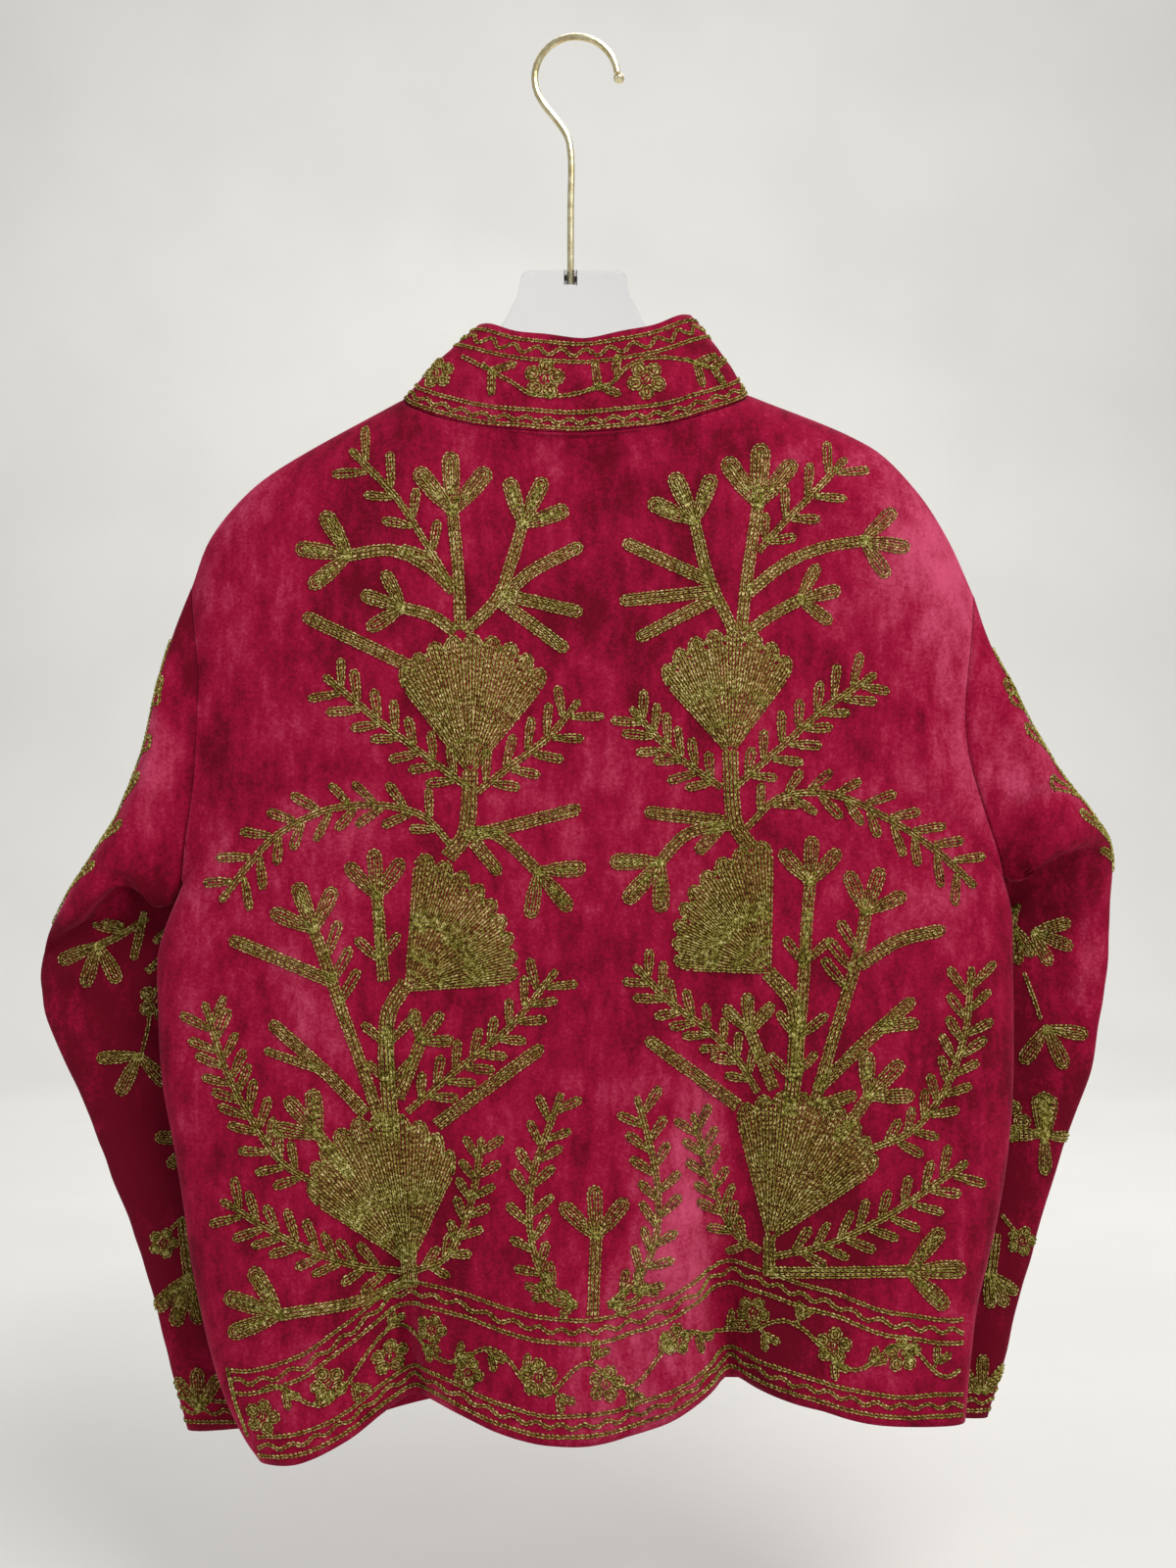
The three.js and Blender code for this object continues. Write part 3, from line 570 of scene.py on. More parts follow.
def front_points(side, u, v):
    """Outer points of a front for shares from the side seam to the middle and up."""
    edge = EDGE[side]
    shoulder = curve_through(SHOULDER[side])
    neck_x, neck_z = SHOULDER[side][-1]
    first = FRONT_NECK_SHARE
    corner = edge(np.array(0.0))

    def open_at(share):
        return SIGN[side] * (FRONT_OPEN_HEM + (FRONT_OPEN_TOP - FRONT_OPEN_HEM) * share)

    def hem(share):
        return np.stack([corner[0] + (open_at(0) - corner[0]) * share,
                         corner[1] + (FRONT_HEM_Z - corner[1]) * smoothstep(share, 0, 1)], -1)

    def top(share):
        angle = np.clip((share - first) / (1 - first), 0, 1) * math.pi / 2
        neck = np.stack([open_at(1) + (neck_x - open_at(1)) * np.cos(angle),
                         neck_z + (FRONT_NECK_Z - neck_z) * np.sin(angle) ** 1.5], -1)
        return np.where((share <= first)[..., None], shoulder(np.clip(share / first, 0, 1)), neck)

    def middle(share):
        return np.stack([open_at(share) + 0 * share,
                         FRONT_HEM_Z + (FRONT_NECK_Z - FRONT_HEM_Z) * share], -1)

    flat = fill(hem, top, edge, middle, u, v)
    x, z = flat[..., 0], flat[..., 1]
    out = 1 - u
    angle = np.maximum(0, u - first) / (1 - first) * math.pi / 2
    collar = NECK_FRONT_DEPTH * np.sin(angle)
    folds = long_folds(FRONT_FOLDS, x, z, hem(u)[..., 1]) * (1 - out ** 8)
    fine = creases(FRONT_CREASES, x, z) + 0.9 * ripple(x, z, 90, 15) + 0.35 * ripple(x, z, 33, 18)
    deep = np.interp(v, DEPTHS[:, 0], DEPTHS[:, 2])
    depth = panel_depth(deep, collar, v, out, FRONT_SIDE_POWER)
    edge_fade = settle(v, out) * (1 - smoothstep(u, 0.94, 1))
    y = depth - folds - fine * edge_fade + HALF_GAP + vent_depth(v, out)
    return np.stack([x, y, z], -1)


# ---- sleeves --------------------------------------------------------------------------

# Sections from just outside the armhole to the cuff: the outer end of the long axis
# (x, z, y), its inner end (x, z, y) and half the thickness.
SLEEVES = {
    "left": [
        (-251, -362, 0, -254, -545, 0, 19), (-260, -389, 0, -259, -548, 0, 23),
        (-268, -423, 0, -264, -549, 1, 26), (-276, -455, 0, -268, -549, 2, 28),
        (-288, -488, 0, -268, -548, 3, 30), (-304, -512, 1, -266, -547, 4, 30),
        (-327, -548, 4, -262, -545, 6, 26), (-338, -567, 7, -257, -543, 8, 21),
        (-340, -572, 9, -252, -539, 11, 15), (-342, -576, 11, -247, -545, 22, 15),
        (-344, -582, 13, -238, -568, 42, 16), (-346, -593, 16, -215, -621, 48, 16),
        (-343, -623, 19, -202, -657, 49, 16), (-320, -674, 22, -190, -706, 49, 16),
        (-304, -719, 23, -180, -748, 49, 15), (-288, -757, 24, -171, -784, 49, 14),
        (-274, -808, 24, -161, -829, 48, 13), (-262, -852, 24, -151, -868, 47, 13),
        (-253, -888, 24, -142, -882, 46, 13)],
    "right": [
        (259, -381, 0, 275, -532, 0, 19), (271, -404, 0, 279, -532, 0, 23),
        (284, -431, 0, 281, -532, 1, 26), (298, -455, 0, 281, -531, 2, 28),
        (312, -475, 0, 279, -530, 3, 30), (325, -490, 0, 275, -531, 4, 30),
        (332, -500, 1, 274, -531, 4, 27), (336, -506, 3, 271, -524, 6, 19),
        (338, -513, 5, 267, -534, 14, 18), (340, -526, 9, 261, -545, 34, 20),
        (339, -549, 13, 244, -576, 46, 17), (341, -577, 16, 232, -609, 48, 16),
        (338, -612, 19, 222, -644, 49, 16), (331, -655, 22, 211, -686, 49, 16),
        (317, -694, 23, 201, -722, 49, 15), (303, -738, 24, 193, -762, 49, 14),
        (290, -786, 24, 184, -801, 48, 13), (276, -836, 24, 174, -844, 47, 13),
        (265, -880, 24, 161, -874, 46, 13)]}
SLEEVE_POWER = 2.3
RING_POINTS = 33         # on each side of a ring, its ends included
RING_STEP = 6            # from one ring to the next
SLEEVE_SMOOTHINGS = 4
# The folded edge under the arm lifts on the back's side: where it is highest as a share of the
# way out, its half width there, and its rise by section.
LIP_RISE = {"left": (0.36, 0.27, {5: 5, 6: 12, 7: 17, 8: 26, 9: 24, 10: 8}),
            "right": (0.52, 0.34, {7: 1, 8: 11, 9: 11, 10: 5})}

# Creases on the side seen with the back, then on the fronts' side.
SLEEVE_CREASES = {
    ("left", -1): [((-348, -580), (-300, -552), 4, 4.2), ((-306, -520), (-272, -538), 6, 3.2),
                   ((-330, -596), (-250, -640), 7, 3.0), ((-345, -600), (-282, -560), 8, -2.4),
                   ((-300, -560), (-262, -640), 8, 2.2), ((-322, -625), (-240, -700), 10, 1.6),
                   ((-262, -800), (-230, -860), 8, 1.6), ((-300, -690), (-240, -740), 11, -1.6),
                   ((-262, -430), (-290, -500), 9, 2.0), ((-250, -470), (-285, -535), 7, 2.2)],
    ("left", 1): [((-330, -600), (-230, -650), 9, 2.4), ((-300, -700), (-200, -760), 11, 1.8),
                  ((-258, -430), (-292, -505), 9, 2.0), ((-270, -800), (-190, -850), 10, 1.6)],
    ("right", -1): [((276, -485), (304, -467), 5, 4.0), ((292, -548), (318, -557), 4, 3.2),
                    ((316, -556), (328, -586), 4, 3.0), ((338, -600), (268, -636), 8, 2.6),
                    ((330, -556), (276, -590), 7, 2.8), ((297, -557), (323, -630), 5, 3.6),
                    ((330, -640), (262, -700), 10, 1.5),
                    ((268, -800), (236, -858), 8, 1.5), ((262, -430), (300, -494), 9, 2.2),
                    ((254, -452), (296, -520), 7, 2.0), ((310, -700), (256, -740), 11, -1.5)],
    ("right", 1): [((330, -600), (240, -650), 9, 2.4), ((300, -700), (210, -760), 11, 1.8),
                   ((262, -430), (300, -500), 9, 2.0), ((280, -800), (200, -850), 10, 1.6)],
}


def sleeve_grid(side):
    """Outer points of a sleeve as rows of rings, from the armhole to the cuff."""
    shares = 0.5 - 0.5 * np.cos(np.linspace(0, math.pi, RING_POINTS))
    rows_v = PIT_SHARE + (1 - PIT_SHARE) * shares
    edge_u = np.zeros_like(rows_v) if side == "left" else np.ones_like(rows_v)
    down = back_points(edge_u, rows_v)[::-1]
    up = front_points(side, np.zeros_like(rows_v), rows_v)[1:-1]
    first = np.concatenate([down, up])
    first[:, 0] += SIGN[side] * 2 * HALF_GAP
    reach = 2 * shares[::-1] - 1
    turns = np.concatenate([reach, reach[1:-1][::-1]])
    facing = np.concatenate([-np.ones(RING_POINTS), np.ones(RING_POINTS - 2)])
    highest, spread, rise = LIP_RISE[side]
    rings = [first]
    for number, (ox, oz, oy, ix, iz, iy, half) in enumerate(np.array(SLEEVES[side], float)):
        outer, inner = np.array((ox, oy, oz)), np.array((ix, iy, iz))
        ring = inner + (outer - inner) * ((turns[:, None] + 1) / 2)
        bulge = np.maximum(0, 1 - np.abs(turns) ** SLEEVE_POWER) ** (1 / SLEEVE_POWER)
        ring[:, 1] += facing * half * bulge
        lift = np.exp(-(((turns + 1) / 2 - highest) / spread) ** 2) * (facing < 0)
        ring[:, 2] += rise.get(number, 0) * lift
        rings.append(ring)
    fine = [rings[0]]
    for low, high in zip(rings, rings[1:]):
        span = np.linalg.norm(high - low, axis=1).max()
        steps = max(2, int(round(span / RING_STEP)))
        fine += [low + (high - low) * k / steps for k in range(1, steps + 1)]
    grid = np.array(fine)
    for _ in range(SLEEVE_SMOOTHINGS):
        grid[1:-1] = (grid[:-2] + 2 * grid[1:-1] + grid[2:]) / 4
    return grid


def press_sleeve(side, grid):
    """Listed creases and low waves, square to the sleeve's surface."""
    sign = SIGN[side]
    normal = outward(grid, sign, True)
    x, y, z = grid[..., 0], grid[..., 1], grid[..., 2]
    rows = np.linspace(0, 1, len(grid))[:, None]
    settle_rows = smoothstep(rows, 0.02, 0.10) * (1 - 0.6 * smoothstep(rows, 0.97, 1.0))
    depth = 0.8 * ripple(x + 0.7 * y, z, 80, 31 - sign) + 0.3 * ripple(x - y, z, 30, 41 - sign)
    for facing in (-1, 1):
        seen = smoothstep(facing * normal[..., 1], 0.1, 0.7)
        depth = depth + creases(SLEEVE_CREASES[side, facing], x, z) * seen
    return grid - normal * (depth * settle_rows)[..., None]


# ---- walls ----------------------------------------------------------------------------

NEEDLE_START = 400       # the needle comes from this far off the middle, past all of the cloth


class Ground:
    """Cloth that is sewn on: its grid of outer points, with outward normals."""

    def __init__(self, grid, normal, closed, tree):
        self.grid = grid
        self.normal = normal
        self.closed = closed
        self.tree = tree

    def below(self, path, facing, sight=False):
        """Places on the cloth under a flat (x, z) line: square on, or along the lines of sight."""
        points, normals = [], []
        for x, z in path:
            if sight:
                start = Vector(CAMERA_PLACE)
                way = (Vector((x, PATTERN_Y, z)) - start).normalized()
            else:
                start = Vector((x, facing * NEEDLE_START, z))
                way = Vector((0, -facing, 0))
            hit, normal, _, _ = self.tree.ray_cast(start, way)
            if hit is not None:
                points.append(hit)
                normals.append(normal if normal.y * facing > 0 else -normal)
        return np.array(points), np.array(normals)

    def girth(self, row):
        """How far along a row each of its points lies, back to the first where the cloth is a tube."""
        ring = self.grid[row]
        return distances(np.concatenate([ring, ring[:1]]) if self.closed else ring)

    def around(self, row, path):
        """Places for a flat line laid round the cloth: x along a row, z up from it."""
        along = self.girth(row)
        x = np.mod(path[:, 0], along[-1]) if self.closed else path[:, 0]
        spine = self.grid.mean(axis=1)
        rise = distances(spine)
        up = 1 if spine[-1, 2] > spine[0, 2] else -1
        rows = np.interp(rise[row] + up * path[:, 1], rise, np.arange(len(rise)))
        return self.at(rows, np.interp(x, along, np.arange(len(along))))

    def at(self, row, column):
        """Places by row and column of the grid, read between them."""
        rows, columns = self.grid.shape[:2]
        row = np.clip(row, 0, rows - 1.001)
        column = np.mod(column, columns) if self.closed else np.clip(column, 0, columns - 1.001)
        i, j = row.astype(int), column.astype(int)
        s, t = (row - i)[:, None], (column - j)[:, None]
        k = (j + 1) % columns
        out = []
        for net in (self.grid, self.normal):
            low = net[i, j] * (1 - t) + net[i, k] * t
            high = net[i + 1, j] * (1 - t) + net[i + 1, k] * t
            out.append(low * (1 - s) + high * s)
        return out


def wall(grid, depth, turn, closed, trim):
    """Points and faces of a closed wall from a grid of outer points down to its depth."""
    rows, columns = grid.shape[:2]
    inner = grid - depth
    trim(inner, grid)
    points = np.concatenate([grid.reshape(-1, 3), inner.reshape(-1, 3)])

    def ids(layer):
        return np.arange(rows * columns).reshape(rows, columns) + layer * rows * columns

    def quads(a, b, c, d):
        faces = np.stack([a, b, c, d], -1).reshape(-1, 4)
        return faces if turn > 0 else faces[:, ::-1]

    def edge(a, b):
        return quads(b[:-1], b[1:], a[1:], a[:-1])

    outer_ids, inner_ids = ids(0), ids(1)
    if closed:
        outer_ids = np.concatenate([outer_ids, outer_ids[:, :1]], 1)
        inner_ids = np.concatenate([inner_ids, inner_ids[:, :1]], 1)
    faces = [quads(outer_ids[:-1, :-1], outer_ids[:-1, 1:], outer_ids[1:, 1:], outer_ids[1:, :-1]),
             quads(inner_ids[:-1, 1:], inner_ids[:-1, :-1], inner_ids[1:, :-1], inner_ids[1:, 1:]),
             edge(outer_ids[0], inner_ids[0]), edge(inner_ids[-1], outer_ids[-1])]
    if not closed:
        faces += [edge(inner_ids[:, 0], outer_ids[:, 0]), edge(outer_ids[:, -1], inner_ids[:, -1])]
    return points, np.concatenate(faces)


TOP_DROP = 2             # at the shoulders the inner points lie at least this far lower


def keep_side(facing, ends):
    """Inner points stay on their own side of the side seams and under the shoulders."""
    def trim(inner, outer):
        y = inner[..., 1]
        y[facing * y < HALF_GAP] = facing * HALF_GAP
        inner[-1, :, 2] = np.minimum(inner[-1, :, 2], outer[-1, :, 2] - TOP_DROP)
        for column, end in ends:
            inner[:, column, 0] = end * np.minimum(end * inner[:, column, 0], end * outer[:, column, 0])
    return trim


def cloth(name, node, grid, turn, trim, thickness=WALL, material=VELVET, closed=False):
    """A piece of cloth in place of its solid, and the ground for what is sewn on it."""
    normal = outward(grid, turn, closed)
    points, faces = wall(grid, normal * thickness, turn, closed, trim)
    piece = mesh_piece(name, points, faces, material)
    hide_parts(node)
    rows, columns = grid.shape[:2]
    skin = faces[: (rows - 1) * (columns if closed else columns - 1)]
    tree = BVHTree.FromPolygons([Vector(p) for p in points], skin.tolist())
    return piece, Ground(grid, normal, closed, tree)


def make_back():
    grid = back_points(*np.meshgrid(BACK_COLUMNS, panel_rows(*BACK_ROWS)))
    return cloth("velvet_back", "back", grid, 1, keep_side(-1, [(0, -1), (-1, 1)]))


def make_front(side):
    sign = SIGN[side]
    grid = front_points(side, *np.meshgrid(FRONT_COLUMNS, panel_rows(*FRONT_ROWS)))
    return cloth(f"velvet_front_{side}", f"front_{side}", grid, sign,
                 keep_side(1, [(0, sign), (-1, -sign)]))


def make_sleeve(side):
    def trim(inner, outer):
        inner[0, :, 0] = outer[0, :, 0]

    grid = press_sleeve(side, sleeve_grid(side))
    return cloth(f"velvet_sleeve_{side}", f"sleeve_{side}", grid, SIGN[side], trim,
                 material=VELVET_SLEEVE_SHADED, closed=True)


COLLAR_ROWS = 15
COLLAR_FRONT_COLUMNS = 40
COLLAR_BACK_COLUMNS = 81
COLLAR_RADIUS = 70       # for the waves of its cloth alone
COLLAR_HEIGHT = 60


def collar_grid():
    """Outer points of the collar, from the centre front round the left, back and right."""
    front_u = np.linspace(FRONT_NECK_SHARE, 1, COLLAR_FRONT_COLUMNS)
    back_u = np.linspace(BACK_NECK_SHARE, 1 - BACK_NECK_SHARE, COLLAR_BACK_COLUMNS)
    left = front_points("left", front_u, np.ones_like(front_u))[::-1]
    back = back_points(back_u, np.ones_like(back_u))[1:-1]
    right = front_points("right", front_u, np.ones_like(front_u))
    seam = np.concatenate([left, back, right])
    neck_half = SHOULDER["right"][-1][0]
    angle = np.arctan2(seam[:, 1] / NECK_FRONT_DEPTH, seam[:, 0] / neck_half)
    front = np.maximum(0, np.sin(angle))
    behind = np.maximum(0, -np.sin(angle))
    depth = np.where(front > 0, COLLAR_TOP_FRONT, COLLAR_TOP_BACK)
    rim = np.stack([
        COLLAR_TOP_CENTRE * (1 - front ** 2) + COLLAR_TOP_HALF * np.cos(angle),
        depth * np.sin(angle),
        COLLAR_TOP_Z - COLLAR_BACK_DIP * behind ** 2 - COLLAR_FRONT_DIP * front ** 2
        + COLLAR_TOP_TILT * np.maximum(0, np.cos(angle))], -1)
    share = np.linspace(0, 1, COLLAR_ROWS)[:, None]
    grid = seam + (rim - seam) * share[..., None]
    arch = np.sin(math.pi * share)
    along, up = np.broadcast_arrays(angle * COLLAR_RADIUS, share * COLLAR_HEIGHT)
    waves = 0.7 * ripple(along, up, 46, 77) + 0.5 * ripple(along, up, 17, 78)
    push = COLLAR_BELLY * arch - waves * arch ** 0.5
    grid[..., 0] += push * np.cos(angle)
    grid[..., 1] += push * np.sin(angle)
    grid[..., 2] += 0.6 * (1 - share) + 0.6 * np.sin(angle * 9) * share ** 3
    return grid


def make_collar():
    def trim(inner, outer):
        inner[0, :, 2] = np.maximum(inner[0, :, 2], outer[0, :, 2])
        inner[:, 0, 0] = np.minimum(inner[:, 0, 0], outer[:, 0, 0])
        inner[:, -1, 0] = np.maximum(inner[:, -1, 0], outer[:, -1, 0])

    return cloth("velvet_collar", "collar", collar_grid(), 1, trim, thickness=COLLAR_WALL)


back, back_ground = make_back()
front_left, front_left_ground = make_front("left")
front_right, front_right_ground = make_front("right")
sleeve_left, sleeve_left_ground = make_sleeve("left")
sleeve_right, sleeve_right_ground = make_sleeve("right")
collar, collar_ground = make_collar()

# ---- chain stitch ---------------------------------------------------------------------

PITCH = 3.0          # length of a stitch
ROW = 2.75           # from one row to the next
REST = 0.15          # the thread lies this far into the pile
SAMPLE = 1.5         # spacing of places read from the cloth
BREAK = 9            # a row ends where the next place is further away than this
SHORTEST = 1.2       # rows below this length are left out
EVENED = 5           # places over which the cloth's direction is evened out

# One strand of a stitch's loop: share of the pitch, distance off the row's middle, height,
# half width, half thickness. Its ends are points.
STRAND = [(-0.10, 0.12, 0.20, 0, 0), (0.30, 0.90, 0.62, 0.62, 0.62),
          (0.78, 0.84, 0.86, 0.62, 0.62), (1.14, 0.10, 1.05, 0, 0)]
CORNERS = (90, -30, 210)     # a strand is three-sided, with these angles round it


def strand_points(side):
    points = []
    for along, off, height, wide, thick in STRAND:
        middle = (along, side * off, height)
        if wide == 0:
            points.append(middle)
            continue
        for turn in CORNERS:
            across, up = math.cos(math.radians(turn)), math.sin(math.radians(turn))
            points.append((along, middle[1] + across * wide, height + up * thick))
    return points


def strand_faces(first):
    low, high = range(first + 1, first + 4), range(first + 4, first + 7)
    faces = []
    for k in range(3):
        n = (k + 1) % 3
        faces.append((first, low[n], low[k]))
        faces.append((low[k], low[n], high[n]))
        faces.append((low[k], high[n], high[k]))
        faces.append((first + 7, high[k], high[n]))
    return faces


STITCH_POINTS = np.array(strand_points(1) + strand_points(-1))
STITCH_FACES = np.array(strand_faces(0) + strand_faces(8))


class Needlework:
    """Rows of chain stitch, gathered for one piece."""

    def __init__(self, name):
        self.name = name
        self.starts, self.ends, self.normals = [], [], []

    def sew(self, points, normals):
        """A row of stitches through places on the cloth, parted where they jump."""
        if len(points) < 2:
            return
        gaps = np.linalg.norm(np.diff(points, axis=0), axis=1)
        breaks = np.nonzero(gaps > BREAK)[0]
        if len(breaks):
            split = breaks[0] + 1
            self.sew(points[:split], normals[:split])
            self.sew(points[split:], normals[split:])
            return
        at = distances(points)
        if at[-1] < SHORTEST:
            return
        if len(normals) > EVENED + 1:
            kernel = np.ones(EVENED) / EVENED
            ends = EVENED // 2
            padded = np.concatenate([normals[:1]] * ends + [normals] + [normals[-1:]] * ends)
            normals = np.stack([np.convolve(padded[:, k], kernel, "valid") for k in range(3)], -1)
        count = max(1, int(round(at[-1] / (PITCH * RANDOM.uniform(0.93, 1.07)))))
        marks = np.linspace(0, at[-1], count + 1)
        marks[1:-1] += RANDOM.uniform(-0.3, 0.3, count - 1)
        holes, square = [np.stack([np.interp(marks, at, net[:, k]) for k in range(3)], -1)
                         for net in (points, normals)]
        self.starts.append(holes[:-1])
        self.ends.append(holes[1:])
        self.normals.append((square[:-1] + square[1:]) / 2)

    def drop(self, ground, facing, paths, sight=False):
        """Sews flat (x, z) lines where they fall on the cloth."""
        for path in paths:
            self.sew(*ground.below(evenly(path), facing, sight))

    def wrap(self, ground, row, paths):
        """Sews flat lines laid round the cloth from a row of it."""
        for path in paths:
            self.sew(*ground.around(row, evenly(path)))

    def make(self):
        """All the rows as one piece: two strands for each stitch."""
        starts, ends = np.concatenate(self.starts), np.concatenate(self.ends)
        normals = np.concatenate(self.normals)
        run = ends - starts
        length = np.maximum(np.linalg.norm(run, axis=1, keepdims=True), 1e-6)
        run = run / length
        up = normals - run * (normals * run).sum(1, keepdims=True)
        up /= np.maximum(np.linalg.norm(up, axis=1, keepdims=True), 1e-6)
        side = np.cross(up, run)
        count = len(starts)
        wide = RANDOM.uniform(0.86, 1.12, (count, 1, 1))
        high = RANDOM.uniform(0.88, 1.14, (count, 1, 1))
        lean = RANDOM.uniform(-0.16, 0.16, (count, 1, 1))
        template = STITCH_POINTS[None]
        points = (starts[:, None] + run[:, None] * length[:, None] * template[..., :1]
                  + side[:, None] * (template[..., 1:2] * wide + lean)
                  + up[:, None] * (template[..., 2:] * high - REST))
        faces = STITCH_FACES[None] + (np.arange(count) * len(STITCH_POINTS))[:, None, None]
        print(f"{self.name}: {count} stitches, {count * len(STITCH_FACES)} triangles")
        return mesh_piece(self.name, points.reshape(-1, 3), faces.reshape(-1, 3).tolist(),
                          THREAD)


# ---- flat lines of the motifs, in millimetres (x, z) ----------------------------------

STEM_APART = 2.4         # from row to row of a stem
SPRIG_APART = 1.8
LEAF_WIDTH = 5.6
SPRIG_LEAF_WIDTH = 6.1
SINGLE_LEAF_WIDTH = 7.0
LEAF_ANGLE = 44          # between a sprig's leaves and its stem
PETAL_BASE = 0.36        # width of a petal's base, as a share of its full width
PETAL_FULL = 0.66        # where a petal has its full width, as a share of its length
SCALLOP = 8              # depth of the scallops on a fan's rim
# Where a fan's rows start, as shares of its shortest side: every eighth, the others that are
# even, and the rest.
FAN_STARTS = {0: 0.07, 4: 0.14, 2: 0.28, 6: 0.28}
FAN_SHORT_START = 0.56
FLOWER_LOBES = 5
# Of a flower's radius: size of a lobe, how far out its middle is, half of the line in its eye.
LOBE_SIZE = 0.40
LOBE_PLACE = 0.56
FLOWER_EYE = 0.14
LOBE_FILL = 1.2          # the two short lines in a lobe lie this far off its middle
WIDEST_PETAL = 12.0


def evenly(path, step=SAMPLE):
    """The same line with its points about that step apart."""
    path = np.asarray(path, float)
    at = distances(path)
    count = max(2, int(math.ceil(at[-1] / step)) + 1)
    marks = np.linspace(0, at[-1], count)
    return np.stack([np.interp(marks, at, path[:, 0]), np.interp(marks, at, path[:, 1])], -1)


def through(*points):
    """A smooth line through points, or a straight one between two."""
    if len(points) < 3:
        return np.array(points, float)
    return curve_through(points)(np.linspace(0, 1, 10 * len(points)))


def toward(angle):
    """A unit step. Angles are in degrees from straight up, clockwise."""
    turned = math.radians(angle)
    return np.array((math.sin(turned), math.cos(turned)))


def aside(path, distance):
    """The line moved to its right by a distance."""
    run = np.gradient(path, axis=0)
    run /= np.maximum(np.linalg.norm(run, axis=1, keepdims=True), 1e-6)
    return path + np.stack([run[:, 1], -run[:, 0]], -1) * np.reshape(distance, (-1, 1))


def stem(points, rows=3, apart=STEM_APART):
    """Rows side by side along a line."""
    path = evenly(through(*points))
    return [aside(path, (k - (rows - 1) / 2) * apart) for k in range(rows)]


def bar(points, rows):
    """A stem whose outer rows turn round its far end."""
    path = evenly(through(*points))
    half = (rows - 1) / 2 * ROW
    run = path[-1] - path[-2]
    run /= np.linalg.norm(run)
    right = np.array((run[1], -run[0]))
    back = path[-1] - run * half
    keep = np.linalg.norm(path - path[-1], axis=1) > half
    body = path[keep] if keep.sum() > 2 else path
    swing = [back + half * (math.cos(a) * right + math.sin(a) * run)
             for a in np.linspace(0, math.pi, 9)]
    loop = np.concatenate([aside(body, half), swing, aside(body, -half)[::-1]])
    return [loop, body] if rows % 2 else [loop]


def petal_row(base, run, length, width, inset):
    """One row out and back inside a petal that is narrow at its base and round at its tip."""
    right = np.array((run[1], -run[0]))
    reach = length - inset
    radius = width / 2 - inset
    along = reach * np.sin(np.linspace(0, math.pi / 2, 18))
    opened = np.sin(math.pi / 2 * np.minimum(1, along / (PETAL_FULL * length)))
    swell = PETAL_BASE + (1 - PETAL_BASE) * opened
    body = width / 2 * swell - inset
    cap = np.sqrt(np.maximum(0, 1 - np.maximum(0, (along - reach + radius) / radius) ** 2))
    keep = body > 0.25
    out = base + along[keep, None] * run
    off = (body * cap)[keep, None] * right
    return np.concatenate([out + off, (out - off)[::-1]])


def leaf(base, tip, width=LEAF_WIDTH):
    """A narrow closed loop, out and back."""
    base, tip = np.array(base, float), np.array(tip, float)
    length = np.linalg.norm(tip - base)
    return petal_row(base, (tip - base) / length, length, width, ROW / 2)


def petal(base, angle, length, width):
    """A filled petal: loops one inside another about a middle row."""
    run = toward(angle)
    base = np.array(base, float)
    paths = []
    inset = ROW / 2
    while width / 2 - inset > 1.0:
        paths.append(petal_row(base, run, length, width, inset))
        inset += ROW * 0.97
    paths.append([base + run * 2, base + run * (length - inset)])
    return paths


def tulip(base, angle, length, stem_points=(), rows=3, spread=46):
    """Three petals on a stem that ends at the base."""
    base = np.array(base, float)
    paths = []
    if len(stem_points):
        paths += stem([*stem_points, tuple(base)], rows)
    wide = min(WIDEST_PETAL, 0.25 * length + 1.8)
    for turn, share in ((-spread, 0.94), (spread, 0.94), (0, 1.0)):
        start = base - toward(angle + turn) * 1.0 - toward(angle) * 1.0
        paths += petal(start, angle + turn * RANDOM.uniform(0.88, 1.1), length * share,
                       wide * RANDOM.uniform(0.94, 1.06))
    return paths


def fan(apex, first, last, reaches, lobes):
    """A filled fan with a scalloped rim. The reaches are along its first side, middle and last."""
    apex = np.array(apex, float)

    def reach(share):
        low, middle, high = reaches
        curve = low + (high - low) * share + 4 * (middle - (low + high) / 2) * share * (1 - share)
        return curve - SCALLOP * (1 - np.abs(np.sin(math.pi * lobes * share)) ** 0.75)

    def place(share, radius):
        angle = np.radians(first + (last - first) * share)
        return apex + np.stack([np.sin(angle), np.cos(angle)], -1) * np.reshape(radius, (-1, 1))

    shares = np.linspace(0, 1, lobes * 12 + 1)
    paths = [place(shares, reach(shares) - ROW / 2)]
    spread = math.radians(last - first)
    count = int(round(spread * max(reaches) / (ROW * 0.98) / 8)) * 8
    for k in range(count + 1):
        share = k / count
        top = float(reach(share)) - ROW * 1.15
        start = 0.02 if k in (0, count) else FAN_STARTS.get(k % 8, FAN_SHORT_START)
        low = min(reaches) * start * RANDOM.uniform(0.92, 1.08)
        if top - low > 4:
            paths.append(place(np.full(12, share), np.linspace(low, top, 12)))
    return paths


